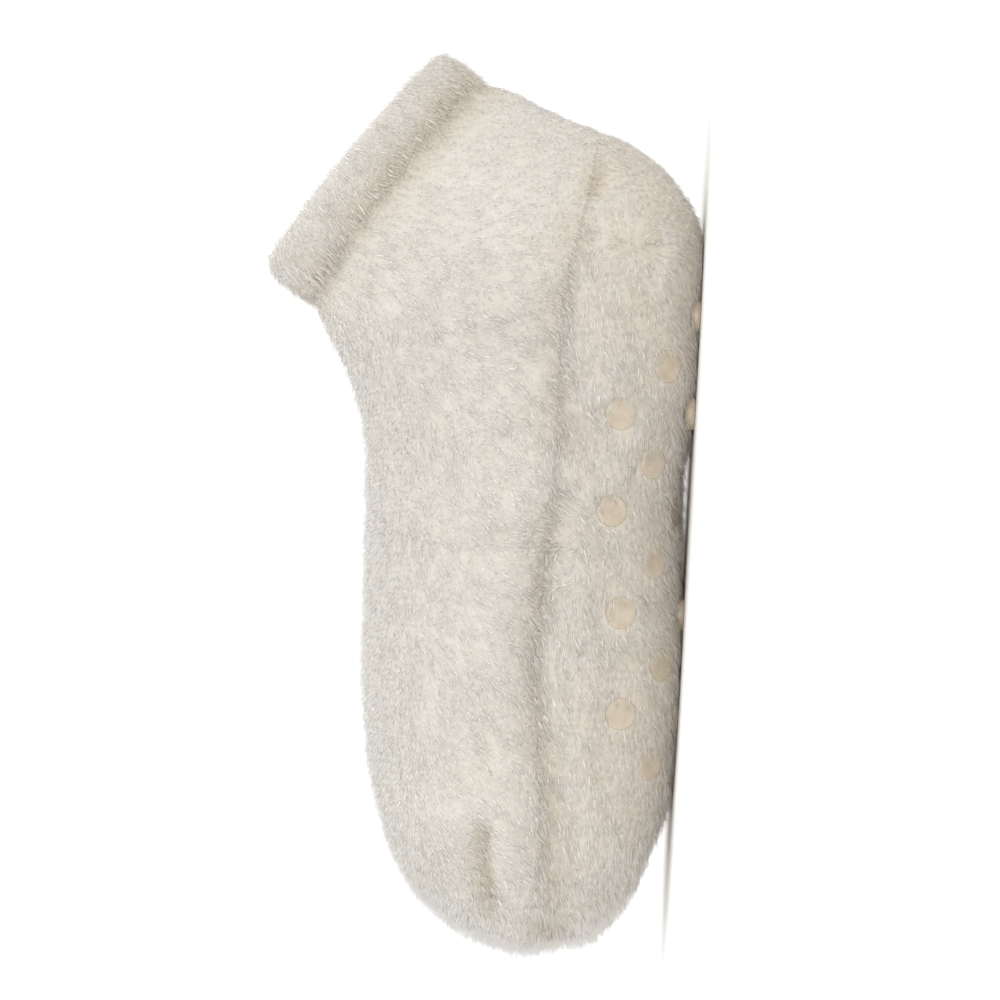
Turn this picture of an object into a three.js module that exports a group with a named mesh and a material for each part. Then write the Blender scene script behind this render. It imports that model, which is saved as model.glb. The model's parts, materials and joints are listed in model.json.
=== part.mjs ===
// Plush ankle slipper sock, standing empty on its grip dots.
// Millimetres, +Z up, the toe towards -X, the collar's back towards +X. The floor is z = 0.
// The sock is the same on both sides of y = 0, so it is for either foot.

import * as THREE from 'three';
import { mergeVertices } from 'three/addons/utils/BufferGeometryUtils.js';

// Driving dimensions. All outer sizes are taken over the pile.
const FOOT_LENGTH = 236;
const INSTEP_HEIGHT = 92;
const BALL_WIDTH = 80;
const HEEL_WIDTH = 68;
const COLLAR_WIDTH = 65;
const BACK_HEIGHT = 80.5;
const FRONT_HEIGHT = 126.5;
const TOE_HEIGHT = 38;

// The fabric: a knitted ground with the dense root of the pile on it, and the locks over that.
const WALL = 3;
const PILE = 3;
const LOCK_PITCH = 8.2;
const LOCK_LEAN = 5;
const LOCK_STRAY = 0.9;
const LOCK_LIFT_SHARE = 0.4;
const LEAN_SPREAD = 0.25;
const BRUSH_TO_TOE = 0.8;
const BRUSH_DOWN = 0.35;
const LINING_PITCH = 1.5 * LOCK_PITCH;
const BARE_MARGIN = LOCK_PITCH / 1.5;

// The turned hem at the collar.
const CUFF_WALL = 6;
const CUFF_SWELL = 1.6;
const CUFF_EDGE = 2.4;
const CUFF_LOCK_RISE = 0.75;
const CUFF_LOCK_SPREAD = 0.25;
const CUFF_LEAN_SPREAD = 0.3;
const CUFF_LEANS = { 1: -0.5, 2: 0.35 };

// The silicone grips under the foot.
const DOT_DIAMETER = 9.8;
const DOT_PITCH = 28.8;
const DOT_COLUMN = 14;
const DOT_CHAMFER = 0.8;
const FIRST_DOT_ROW = 54.5;
const DOT_SINK = 0.3;
const DOT_SEAT = 0.45;
const PARTING = 0.8;
const DOT_SIDES = 10;

// Clearance between neighbouring pieces.
const GAP = 0.3;
const HALF_GAP = GAP / 2;

// Sections of the foot, each upright. Lengths are shares of FOOT_LENGTH, heights of INSTEP_HEIGHT,
// widths of BALL_WIDTH. An underside below 0 is pressed flat by the floor. `under` and `over` say
// how square the lower and upper half is, 2 being round.
const FOOT_COLUMNS = ['at', 'underside', 'topAt', 'top', 'width', 'under', 'over'];
const FOOT_SECTIONS = [
  [0.007, 0.297, 0.007, 0.555, 0.29, 2.0, 2.0],
  [0.025, 0.216, 0.025, 0.69, 0.55, 2.05, 2.0],
  [0.056, 0.145, 0.056, 0.785, 0.745, 2.1, 2.0],
  [0.102, 0.078, 0.102, 0.866, 0.87, 2.2, 2.05],
  [0.17, 0.021, 0.17, 0.926, 0.95, 2.35, 2.1],
  [0.254, -0.016, 0.254, 0.971, 0.99, 2.45, 2.1],
  [0.356, -0.022, 0.356, 0.993, 1.0, 2.5, 2.1],
  [0.458, 0.006, 0.458, 1.001, 0.98, 2.4, 2.1],
  [0.559, 0.025, 0.557, 1.013, 0.94, 2.35, 2.1],
  [0.636, 0.004, 0.619, 1.03, 0.905, 2.4, 2.1],
];

// Sections that turn round the heel and up the ankle. The back point's lengths are shares of
// FOOT_LENGTH and BACK_HEIGHT, the front point's of FOOT_LENGTH and FRONT_HEIGHT, the widths of
// HEEL_WIDTH.
const HEEL_COLUMNS = ['at', 'back', 'topAt', 'front', 'width', 'under', 'over'];
const HEEL_SECTIONS = [
  [0.708, -0.025, 0.661, 0.771, 1.045, 2.4, 2.1],
  [0.78, -0.025, 0.691, 0.798, 1.03, 2.35, 2.05],
  [0.847, -0.02, 0.714, 0.826, 1.015, 2.3, 2.0],
  [0.898, 0.025, 0.731, 0.848, 1.0, 2.2, 2.0],
  [0.941, 0.112, 0.742, 0.862, 0.99, 2.15, 2.0],
  [0.972, 0.224, 0.749, 0.871, 0.975, 2.1, 2.0],
  [0.996, 0.36, 0.755, 0.879, 0.96, 2.1, 2.0],
  [1.015, 0.522, 0.76, 0.885, 0.945, 2.1, 2.0],
  [1.036, 0.677, 0.764, 0.893, 0.935, 2.1, 2.0],
];

// The hem's foot and the collar's edge, measured as the heel sections are, with widths of
// COLLAR_WIDTH.
const COLLAR_SECTIONS = [
  [1.059, 0.832, 0.7695, 0.905, 0.965, 2.1, 2.0],
  [1.083, 1.0, 0.8115, 1.0, 1.0, 2.1, 2.0],
];

// Height of the join between sole and upper, as shares of FOOT_LENGTH and INSTEP_HEIGHT. It
// passes through the tip of the toe and closes behind the heel.
const SEAM_LINE = [
  { at: 0.0, height: TOE_HEIGHT / INSTEP_HEIGHT },
  { at: 0.12, height: 0.4 },
  { at: 0.36, height: 0.46 },
  { at: 0.55, height: 0.43 },
  { at: 0.8, height: 0.43 },
  { at: 0.94, height: 0.355 },
  { at: 1.1, height: 0.33 },
];

// Rows of grip dots from the toe to the heel, half a pitch apart. Columns are counted from the
// centre line, so 0 is under the middle of the foot and 3 is on its side.
const DOT_ROWS = [
  [0, 2],
  [1, 3],
  [0, 2],
  [1, 3],
  [0, 2],
  [1, 3],
  [0, 2],
  [1, 3],
  [0, 2],
  [1],
  [0],
];

// Rings of the hem from its foot round the collar's edge and back inside, as shares of the hem's
// height. Every second knot of a ring with locks is a lock's tip.
const CUFF_INNER = PILE + CUFF_WALL;
const CUFF_RINGS = [
  { share: 0, depth: PILE, locks: 0 },
  { share: 0.3, depth: PILE - CUFF_SWELL, locks: 1 },
  { share: 0.58, depth: PILE - CUFF_SWELL, locks: 0 },
  { share: 0.84, depth: PILE - CUFF_SWELL / 2, locks: 2 },
  { share: 1, depth: PILE + CUFF_EDGE / 2, locks: 0 },
  { share: 1, depth: CUFF_INNER - CUFF_EDGE / 2, locks: 0 },
  { share: 0.7, depth: CUFF_INNER, locks: 0 },
  { share: 0, depth: PILE + WALL + GAP, locks: 0 },
];

const FULL_TURN = 2 * Math.PI;
const TOP_ANGLE = Math.PI;
const SHOULDER_ANGLE = 0.62 * Math.PI;
const STEP = 1e-3;
const TIP_STATION = 0.02;
const NOSE_START = 0.5;
const NOSE_END = 4;

// How finely curves are measured, how often a crossing is halved, and how near points are one.
const SPACING_SAMPLES = 120;
const LENGTH_SAMPLES = 60;
const HALVINGS = 40;
const SAME_LENGTH = 1e-9;
const SAME_PLACE = 1e-3;

// Strides that give each lock a seed of its own.
const ROW_SEED = 61;
const KNOT_SEED = 7;
const RING_SEED = 53;
const RING_KNOT_SEED = 11;

// Turns a table's rows into sections with named sizes in millimetres.
function readSections(rows, columns, heights, width) {
  return rows.map((cells) => {
    const row = Object.fromEntries(columns.map((name, column) => [name, cells[column]]));
    return {
      soleX: row.at * FOOT_LENGTH,
      soleZ: row[columns[1]] * heights[0],
      topX: row.topAt * FOOT_LENGTH,
      topZ: row[columns[3]] * heights[1],
      half: (row.width * width) / 2,
      under: row.under,
      over: row.over,
    };
  });
}

const toeTip = {
  soleX: 0,
  soleZ: TOE_HEIGHT,
  topX: 0,
  topZ: TOE_HEIGHT,
  half: 0,
  under: 2,
  over: 2,
};

const sections = [
  toeTip,
  ...readSections(FOOT_SECTIONS, FOOT_COLUMNS, [INSTEP_HEIGHT, INSTEP_HEIGHT], BALL_WIDTH),
  ...readSections(HEEL_SECTIONS, HEEL_COLUMNS, [BACK_HEIGHT, FRONT_HEIGHT], HEEL_WIDTH),
  ...readSections(COLLAR_SECTIONS, HEEL_COLUMNS, [BACK_HEIGHT, FRONT_HEIGHT], COLLAR_WIDTH),
];
const COLLAR_EDGE = sections.length - 1;
const HEM_FOOT = COLLAR_EDGE - 1;

// The section before the toe tip is the first one turned over, so the nose comes out round.
function sectionAt(index) {
  if (index >= 0) return sections[Math.min(index, COLLAR_EDGE)];
  const next = sections[1];
  return {
    ...next,
    soleX: next.topX,
    soleZ: next.topZ,
    topX: next.soleX,
    topZ: next.soleZ,
    half: -next.half,
  };
}

// A smooth curve through four values, at the share t of the middle stretch.
function smooth(before, from, to, after, t) {
  const bend = 2 * before - 5 * from + 4 * to - after;
  const twist = 3 * from - before - 3 * to + after;
  return from + 0.5 * t * (to - before + t * (bend + t * twist));
}

// The section at the station u, where whole numbers are the rows of the tables.
function blendedSection(u) {
  const index = Math.min(Math.floor(u), COLLAR_EDGE - 1);
  const around = [-1, 0, 1, 2].map((step) => sectionAt(index + step));
  const blended = {};
  for (const name of Object.keys(toeTip)) {
    blended[name] = smooth(...around.map((section) => section[name]), u - index);
  }
  return blended;
}

// A point of the pile's envelope: angle 0 is under the foot or at the back of the ankle, a half
// turn is on top or in front, and +y is met first.
function envelope(u, angle) {
  const section = blendedSection(u);
  const cosine = Math.cos(angle);
  const sine = Math.sin(angle);
  const power = 2 / (cosine > 0 ? section.under : section.over);
  const rise = (1 - Math.sign(cosine) * Math.abs(cosine) ** power) / 2;
  const side = Math.sign(sine) * Math.abs(sine) ** power;
  return new THREE.Vector3(
    section.soleX + rise * (section.topX - section.soleX),
    section.half * side,
    Math.max(section.soleZ + rise * (section.topZ - section.soleZ), 0),
  );
}

// Directions on the envelope: along the sock to the collar, round it, and outwards.
function directions(u, angle) {
  const nearToe = Math.max(u, TIP_STATION);
  const along = envelope(nearToe + STEP, angle).sub(envelope(nearToe - STEP, angle));
  const round = envelope(nearToe, angle + STEP).sub(envelope(nearToe, angle - STEP));
  const outward = round.clone().cross(along).normalize();
  return { along: along.normalize(), round: round.normalize(), outward };
}

// A point at a depth under the envelope.
function skin(u, angle, depth) {
  if (u === 0) return new THREE.Vector3(depth, 0, TOE_HEIGHT);
  return envelope(u, angle).addScaledVector(directions(u, angle).outward, -depth);
}

// Finds where a rising function of one number crosses zero.
function crossing(low, high, value) {
  for (let turn = 0; turn < HALVINGS; turn += 1) {
    const middle = (low + high) / 2;
    if (value(middle) < 0) low = middle;
    else high = middle;
  }
  return (low + high) / 2;
}

function seamHeight(x) {
  const share = THREE.MathUtils.clamp(x / FOOT_LENGTH, 0, SEAM_LINE.at(-1).at - STEP);
  const index = SEAM_LINE.findIndex((row) => row.at > share) - 1;
  const from = SEAM_LINE[index];
  const to = SEAM_LINE[index + 1];
  const t = (share - from.at) / (to.at - from.at);
  return INSTEP_HEIGHT * THREE.MathUtils.lerp(from.height, to.height, t);
}

function aboveSeam(point) {
  return point.z - seamHeight(point.x);
}

// The join's angle on a section, and the station at which it closes behind the heel.
function seamAngle(u) {
  return crossing(0, TOP_ANGLE, (angle) => aboveSeam(envelope(u, angle)));
}
const SEAM_END = crossing(FOOT_SECTIONS.length, HEM_FOOT, (u) => aboveSeam(envelope(u, 0)));

// The same part of the same solid comes out the same each time it is built.
function shake(seed) {
  const wave = Math.sin(seed * 127.1 + 311.7) * 43758.5453;
  return 2 * (wave - Math.floor(wave)) - 1;
}

// Lengths along a line of points, from its start.
function runningLengths(points) {
  const lengths = [0];
  for (let index = 1; index < points.length; index += 1) {
    lengths.push(lengths[index - 1] + points[index].distanceTo(points[index - 1]));
  }
  return lengths;
}

// Numbers at even steps from one to another.
function spaced(from, to, steps) {
  return Array.from({ length: steps + 1 }, (_, index) => from + ((to - from) * index) / steps);
}

// The value of a parameter that lies at each share of a curve's length.
function evenly(from, to, shares, pointAt) {
  const values = spaced(from, to, SPACING_SAMPLES);
  const lengths = runningLengths(values.map(pointAt));
  if (lengths.at(-1) < STEP) return shares.map(() => from);
  return shares.map((share) => {
    const target = share * lengths.at(-1);
    const index = Math.max(1, lengths.findIndex((length) => length >= target - SAME_LENGTH));
    const t = (target - lengths[index - 1]) / (lengths[index] - lengths[index - 1]);
    return THREE.MathUtils.lerp(values[index - 1], values[index], t);
  });
}

function curveLength(from, to, pointAt) {
  return runningLengths(spaced(from, to, LENGTH_SAMPLES).map(pointAt)).at(-1);
}

function shares(count) {
  return Array.from({ length: count + 1 }, (_, index) => index / count);
}

// Joins two lines of knots that run the same way with a strip of triangles. A knot's mark says
// how far along its line it is, so that knots with like marks are joined.
function strip(triangles, left, right) {
  let i = 0;
  let j = 0;
  while (i < left.length - 1 || j < right.length - 1) {
    const leftNext = i < left.length - 1 ? left[i + 1].mark : Infinity;
    const rightNext = j < right.length - 1 ? right[j + 1].mark : Infinity;
    if (leftNext <= rightNext) {
      triangles.push(left[i].point, left[i + 1].point, right[j].point);
      i += 1;
    } else {
      triangles.push(left[i].point, right[j + 1].point, right[j].point);
      j += 1;
    }
  }
}

// The same line of knots, walked from its other end.
function turned(line) {
  return line.map((knot) => ({ point: knot.point, mark: -knot.mark })).reverse();
}

function strips(triangles, rows) {
  for (let index = 1; index < rows.length; index += 1) {
    strip(triangles, rows[index - 1], rows[index]);
  }
}

function closedMesh(name, triangles, material) {
  const positions = triangles.flatMap((point) => [point.x, point.y, point.z]);
  const soup = new THREE.BufferGeometry();
  soup.setAttribute('position', new THREE.Float32BufferAttribute(positions, 3));
  const geometry = mergeVertices(soup, SAME_PLACE);
  dropSlivers(geometry);
  geometry.computeVertexNormals();
  const mesh = new THREE.Mesh(geometry, material);
  mesh.name = name;
  return mesh;
}

// Triangles with two corners in one place come from rows that end in a point.
function dropSlivers(geometry) {
  const corners = Array.from(geometry.index.array);
  const kept = [];
  for (let index = 0; index < corners.length; index += 3) {
    const [a, b, c] = corners.slice(index, index + 3);
    if (a !== b && b !== c && c !== a) kept.push(a, b, c);
  }
  geometry.setIndex(kept);
}

// One row across a panel. Lock rows lift every other point into the tip of a lock.
function outerRow(panel, u, rowIndex) {
  const [from, to] = panel.span(u);
  const pointAt = (angle) => envelope(u, angle);
  const length = curveLength(from, to, pointAt);
  const isLockRow = rowIndex % 2 === 1;
  const locks = Math.max(1, Math.round(length / LOCK_PITCH));
  const count = isLockRow ? 2 * locks : locks;
  const tipParity = (rowIndex % 4 === 1) ? 1 : 0;
  const closes = u > SEAM_END;
  return evenly(from, to, shares(count), pointAt).map((angle, index) => {
    const inside = index > 0 && index < count;
    const atSeamOfRing = closes && !inside && tipParity === 0;
    const isTip = isLockRow && index % 2 === tipParity && (inside || atSeamOfRing);
    const seed = rowIndex * ROW_SEED + (index % count) * KNOT_SEED;
    const root = parted(panel, panel.place(u, angle, PILE));
    return { point: isTip ? lockTip(panel, root, u, angle, seed) : root, mark: angle };
  });
}

// The pile parts round a dot: roots that lie under its edge move out past its rim.
function parted(panel, root) {
  const rim = DOT_DIAMETER / 2 + PARTING;
  for (const { centre } of panel.dots) {
    const away = centre.distanceTo(root);
    if (away > rim / 2 && away < rim) return root.sub(centre).multiplyScalar(rim / away).add(centre);
  }
  return root;
}

// A lock's tip stands over its root and leans the way the pile is brushed.
function lockTip(panel, root, u, angle, seed) {
  const { along, round, outward } = directions(u, angle);
  const brushed = panel.brush(u, angle);
  const lean = LOCK_LEAN * (1 + LEAN_SPREAD * shake(seed));
  const tip = root.clone();
  tip.addScaledVector(outward, PILE + LOCK_STRAY * (LOCK_LIFT_SHARE + shake(seed + 1)));
  tip.addScaledVector(along, lean * brushed.along);
  const sideways = lean * brushed.round * Math.sign(Math.sin(angle)) + LOCK_STRAY * shake(seed + 2);
  tip.addScaledVector(round, sideways);
  tip.z = Math.max(tip.z, GAP);
  const isBare = panel.dots.some(({ centre }) => {
    const reach = Math.hypot(DOT_DIAMETER / 2, PILE);
    return centre.distanceTo(root) < reach + BARE_MARGIN || centre.distanceTo(tip) < reach + PARTING;
  });
  return isBare ? root : tip;
}

// Stations that lie evenly, on the mean of the underside and the shoulder. Their number is even,
// so that both ends fall on rows without locks.
function stations(from, to) {
  const pointAt = (u) => envelope(u, 0).lerp(envelope(u, SHOULDER_ANGLE), 0.5);
  const count = 2 * Math.round(curveLength(from, to, pointAt) / LOCK_PITCH);
  return evenly(from, to, shares(count), pointAt);
}

function innerRow(panel, u) {
  const [from, to] = panel.span(u);
  const pointAt = (angle) => envelope(u, angle);
  const count = Math.max(2, Math.round(curveLength(from, to, pointAt) / LINING_PITCH));
  return evenly(from, to, shares(count), pointAt).map((angle) => ({
    point: panel.place(u, angle, PILE + WALL),
    mark: angle,
  }));
}

// A shell between the pile's root and the lining, with its rims. Rows past the open ones are
// whole rings, which close on themselves. Each second row has a row of the lining under it.
function panelTriangles(panel) {
  const isLined = (_, index) => index % 2 === 0;
  const outer = panel.stations.map((u, index) => outerRow(panel, u, index));
  const lined = panel.stations.filter(isLined);
  const inner = lined.map((u) => innerRow(panel, u));
  const openEdge = (rows, marks, end) => rows
    .map((row, index) => ({ point: row.at(end).point, mark: marks[index] }))
    .filter((knot) => knot.mark <= SEAM_END);
  const triangles = [];
  strips(triangles, outer);
  strips(triangles, inner.map(turned));
  strip(triangles, openEdge(outer, panel.stations, 0), openEdge(inner, lined, 0));
  strip(triangles, openEdge(inner, lined, -1), openEdge(outer, panel.stations, -1));
  if (lined.at(-1) > SEAM_END) strip(triangles, outer.at(-1), inner.at(-1));
  return triangles;
}

const footStations = stations(0, SEAM_END);
const ankleStations = stations(SEAM_END, HEM_FOOT).slice(1);
const dots = [];

// The pile stands straight out on the nose of the toe and lies down behind it.
function pastNose(u) {
  return THREE.MathUtils.smoothstep(u, NOSE_START, NOSE_END);
}

// Half the clearance as a turn on a section, measured at the join.
function halfGapAngle(u, angle) {
  const perTurn = envelope(u, angle + STEP).distanceTo(envelope(u, angle - STEP)) / (2 * STEP);
  return HALF_GAP / Math.max(perTurn, HALF_GAP);
}

const solePanel = {
  stations: footStations,
  span(u) {
    if (u === 0 || u === SEAM_END) return [0, 0];
    const angle = seamAngle(u);
    const edge = Math.max(angle - halfGapAngle(u, angle), 0);
    return [-edge, edge];
  },
  place(u, angle, depth) {
    const point = skin(u, angle, depth);
    if (u === 0 || u === SEAM_END) point.z -= GAP;
    return point;
  },
  brush: (u) => ({ along: -BRUSH_TO_TOE * pastNose(u), round: 0 }),
  dots,
};

const upperPanel = {
  stations: [...footStations, ...ankleStations],
  span(u) {
    if (u === 0) return [TOP_ANGLE, TOP_ANGLE];
    if (u >= SEAM_END) return [0, FULL_TURN];
    const angle = seamAngle(u);
    const edge = angle + halfGapAngle(u, angle);
    return [edge, FULL_TURN - edge];
  },
  place(u, angle, depth) {
    const point = skin(u, angle, depth);
    if (u === 0 || u === SEAM_END) point.z += GAP;
    return point;
  },
  brush(u, angle) {
    const flank = Math.abs(Math.sin(angle));
    return { along: -BRUSH_TO_TOE * pastNose(u), round: -BRUSH_DOWN * flank * pastNose(u) };
  },
  dots: [],
};

// One dot: its underside follows the sole and its face is flat, level with the pile.
function gripDot(row, column) {
  const x = FIRST_DOT_ROW + (row * DOT_PITCH) / 2;
  const u = crossing(0, SEAM_END, (station) => envelope(station, 0).x - x);
  const reach = Math.abs(column) * DOT_COLUMN;
  const angle = crossing(0, seamAngle(u), (value) => {
    return curveLength(0, value, (turn) => envelope(u, turn)) - reach;
  });
  const turned = Math.sign(column) * angle;
  return { u, angle: turned, centre: skin(u, turned, PILE), row, column };
}

// A dot that the floor would reach stands on it with a level face. The others face outwards.
function dotFace(dot) {
  const { outward } = directions(dot.u, dot.angle);
  const face = dot.centre.clone().addScaledVector(outward, PILE - DOT_SINK);
  const lowest = face.z - (DOT_DIAMETER / 2) * Math.hypot(outward.x, outward.y);
  if (lowest > DOT_SINK + STEP) return { outward, face };
  return { outward: new THREE.Vector3(0, 0, -1), face: dot.centre.clone().setZ(0) };
}

function dotTriangles(dot) {
  const radius = DOT_DIAMETER / 2;
  const { outward, face } = dotFace(dot);
  const along = new THREE.Vector3(1, 0, 0).projectOnPlane(outward).normalize();
  const across = along.clone().cross(outward).normalize();
  const uPerMm = 1 / (envelope(dot.u + STEP, dot.angle).distanceTo(envelope(dot.u, dot.angle)) / STEP);
  const turnPerMm = 1 / (envelope(dot.u, dot.angle + STEP).distanceTo(envelope(dot.u, dot.angle)) / STEP);
  const ring = (size, pointAt) => Array.from({ length: DOT_SIDES + 1 }, (_, index) => {
    const turn = (FULL_TURN * (index % DOT_SIDES)) / DOT_SIDES;
    return { point: pointAt(size * Math.cos(turn), size * Math.sin(turn)), mark: index };
  });
  const seat = (lengthwise, crosswise) => skin(
    dot.u + lengthwise * uPerMm,
    dot.angle + crosswise * turnPerMm,
    PILE - DOT_SEAT,
  );
  const level = (drop) => (lengthwise, crosswise) => face.clone()
    .addScaledVector(along, lengthwise)
    .addScaledVector(across, crosswise)
    .addScaledVector(outward, -drop);
  const rows = [
    ring(0, level(0)),
    ring(radius - DOT_CHAMFER, level(0)),
    ring(radius, level(DOT_CHAMFER)),
    ring(radius, seat),
    ring(0, seat),
  ];
  const triangles = [];
  strips(triangles, rows);
  return triangles;
}

// The hem is a ring of double fabric.
function cuffTriangles() {
  const low = HEM_FOOT + GAP / curveLength(HEM_FOOT, COLLAR_EDGE, (u) => envelope(u, 0));
  const rows = CUFF_RINGS.map((ring, index) => {
    return cuffRing({ ...ring, u: THREE.MathUtils.lerp(low, COLLAR_EDGE, ring.share) }, index);
  });
  const triangles = [];
  strips(triangles, [...rows, rows[0]]);
  return triangles;
}

function cuffRing({ u, depth, locks }, rowIndex) {
  const pointAt = (angle) => envelope(u, angle);
  const count = Math.round(curveLength(0, FULL_TURN, pointAt) / LOCK_PITCH);
  const steps = locks ? 2 * count : count;
  return evenly(0, FULL_TURN, shares(steps), pointAt).map((angle, index) => {
    const point = skin(u, angle, depth);
    if (locks && index % 2 === locks % 2) {
      const { along, outward } = directions(u, angle);
      const seed = rowIndex * RING_SEED + (index % steps) * RING_KNOT_SEED;
      const lean = LOCK_LEAN * CUFF_LEANS[locks] * (1 + CUFF_LEAN_SPREAD * shake(seed + 1));
      point.addScaledVector(outward, PILE * (CUFF_LOCK_RISE + CUFF_LOCK_SPREAD * shake(seed)));
      point.addScaledVector(along, lean);
    }
    return { point, mark: angle };
  });
}

const plush = new THREE.MeshStandardMaterial({ color: 0xdbd5ca, roughness: 0.95, metalness: 0 });
const solePlush = new THREE.MeshStandardMaterial({ color: 0xd6cfc2, roughness: 0.95, metalness: 0 });
const hemPlush = new THREE.MeshStandardMaterial({ color: 0xdfdad0, roughness: 0.95, metalness: 0 });
const silicone = new THREE.MeshStandardMaterial({ color: 0xcfc2ab, roughness: 0.35, metalness: 0 });

for (const [row, columns] of DOT_ROWS.entries()) {
  for (const column of columns) {
    dots.push(gripDot(row, column));
    if (column > 0) dots.push(gripDot(row, -column));
  }
}

const sock = new THREE.Group();
sock.add(closedMesh('upper', panelTriangles(upperPanel), plush));
sock.add(closedMesh('sole', panelTriangles(solePanel), solePlush));
sock.add(closedMesh('cuff', cuffTriangles(), hemPlush));
for (const [index, dot] of dots.entries()) {
  const name = `grip_dot_${String(index + 1).padStart(2, '0')}`;
  sock.add(closedMesh(name, dotTriangles(dot), silicone));
}

// The origin is on the floor under the middle of the sock's length.
const box = new THREE.Box3().setFromObject(sock);
sock.position.x = -(box.min.x + box.max.x) / 2;

export default sock;
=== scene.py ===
"""Looks of a plush ankle slipper sock that stands empty on its grip dots.

Metres, +Z up, the toe towards -X. The ground of each panel is a thin shell, the pile over it is
locks and strands brushed towards the toe, and the grips are moulded silicone discs.
"""

import json
import logging
import math
from collections.abc import Callable
from dataclasses import dataclass, field
from enum import Enum

import bmesh
import bpy
import numpy as np
from mathutils import Matrix, Vector, noise

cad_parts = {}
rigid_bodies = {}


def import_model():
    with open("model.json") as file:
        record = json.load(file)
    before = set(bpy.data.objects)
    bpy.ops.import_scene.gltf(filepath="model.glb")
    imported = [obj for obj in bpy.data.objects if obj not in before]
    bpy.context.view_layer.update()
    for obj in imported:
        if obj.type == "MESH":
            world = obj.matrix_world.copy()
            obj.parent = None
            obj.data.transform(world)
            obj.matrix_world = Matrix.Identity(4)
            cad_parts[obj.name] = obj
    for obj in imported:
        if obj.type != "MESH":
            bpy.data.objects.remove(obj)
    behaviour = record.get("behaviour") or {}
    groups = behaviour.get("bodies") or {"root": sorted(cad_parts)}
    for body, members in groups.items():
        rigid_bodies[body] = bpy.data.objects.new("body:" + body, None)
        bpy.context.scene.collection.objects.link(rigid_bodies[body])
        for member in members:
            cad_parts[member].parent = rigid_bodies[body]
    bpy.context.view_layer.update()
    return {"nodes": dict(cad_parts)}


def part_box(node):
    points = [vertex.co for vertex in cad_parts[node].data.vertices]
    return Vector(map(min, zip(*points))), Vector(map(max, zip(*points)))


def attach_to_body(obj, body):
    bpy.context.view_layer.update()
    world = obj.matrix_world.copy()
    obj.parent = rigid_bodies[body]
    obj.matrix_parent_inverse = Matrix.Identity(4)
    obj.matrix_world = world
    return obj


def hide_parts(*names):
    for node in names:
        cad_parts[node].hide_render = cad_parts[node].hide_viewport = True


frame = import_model()
DOT_NAMES = sorted(name for name in frame["nodes"] if name.startswith("grip_dot_"))

MM = 0.001
FULL_TURN = 2 * math.pi
BODY = "root"
DRIFT_SEED = 17
HALVINGS = 40
SAME_LENGTH = 1e-12
SAME_PLACE = 0.02 * MM

Colour = tuple[float, float, float, float]
Band = tuple[float, float]
Grid = tuple[np.ndarray, np.ndarray]

logging.basicConfig(level=logging.INFO, format="%(message)s")
log = logging.getLogger("slipper_sock")


class Slot(Enum):
    """The record's material slots."""

    UPPER = "upper_plush"
    SOLE = "sole_plush"
    HEM = "hem_plush"
    GRIP = "silicone"


class Region(Enum):
    """Parts of the sock that are brushed in their own way."""

    UPPER = "upper"
    SOLE = "sole"
    HEM = "hem"


# Sections of the foot, each upright. Columns: at, underside, top_at, top, width, and how square
# the lower and upper half is. Lengths are shares of the foot's length, heights of the instep's.
FOOT_SECTIONS = [
    (0.007, 0.297, 0.007, 0.555, 0.29, 2.0, 2.0),
    (0.025, 0.216, 0.025, 0.69, 0.55, 2.05, 2.0),
    (0.056, 0.145, 0.056, 0.785, 0.745, 2.1, 2.0),
    (0.102, 0.078, 0.102, 0.866, 0.87, 2.2, 2.05),
    (0.17, 0.021, 0.17, 0.926, 0.95, 2.35, 2.1),
    (0.254, -0.016, 0.254, 0.971, 0.99, 2.45, 2.1),
    (0.356, -0.022, 0.356, 0.993, 1.0, 2.5, 2.1),
    (0.458, 0.006, 0.458, 1.001, 0.98, 2.4, 2.1),
    (0.559, 0.025, 0.557, 1.013, 0.94, 2.35, 2.1),
    (0.636, 0.004, 0.619, 1.03, 0.905, 2.4, 2.1),
]

# Sections that turn round the heel. Columns: at, back, top_at, front, width, lower and upper
# squareness. Heights are shares of the collar's back and front.
HEEL_SECTIONS = [
    (0.708, -0.025, 0.661, 0.771, 1.045, 2.4, 2.1),
    (0.78, -0.025, 0.691, 0.798, 1.03, 2.35, 2.05),
    (0.847, -0.02, 0.714, 0.826, 1.015, 2.3, 2.0),
    (0.898, 0.025, 0.731, 0.848, 1.0, 2.2, 2.0),
    (0.941, 0.112, 0.742, 0.862, 0.99, 2.15, 2.0),
    (0.972, 0.224, 0.749, 0.871, 0.975, 2.1, 2.0),
    (0.996, 0.36, 0.755, 0.879, 0.96, 2.1, 2.0),
    (1.015, 0.522, 0.76, 0.885, 0.945, 2.1, 2.0),
    (1.036, 0.677, 0.764, 0.893, 0.935, 2.1, 2.0),
]

# The hem's foot and the collar's edge, in the same columns.
COLLAR_SECTIONS = [
    (1.059, 0.832, 0.7695, 0.905, 0.965, 2.1, 2.0),
    (1.083, 1.0, 0.8115, 1.0, 1.0, 2.1, 2.0),
]

# Height of the join between sole and upper. Columns: share of the foot's length, share of the
# instep's height.
SEAM_LINE = [
    (0.0, 0.413),
    (0.12, 0.4),
    (0.36, 0.46),
    (0.55, 0.43),
    (0.8, 0.43),
    (0.94, 0.355),
    (1.1, 0.33),
]


@dataclass(frozen=True)
class Crease:
    """A soft trough on the flank, with a low ridge on each side.

    The line's points are shares of the foot's length and of the instep's height.
    """

    line: tuple[tuple[float, float], ...]
    depth: float
    width: float
    ridge: float
    ridge_place: float = 2.2

    def across(self, away: np.ndarray) -> np.ndarray:
        """Returns the depth at distances from the line, below 0 on the ridge."""
        share = away / self.width
        beside = share - self.ridge_place
        return self.depth * np.exp(-share**2) - self.ridge * np.exp(-(beside**2))


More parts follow.
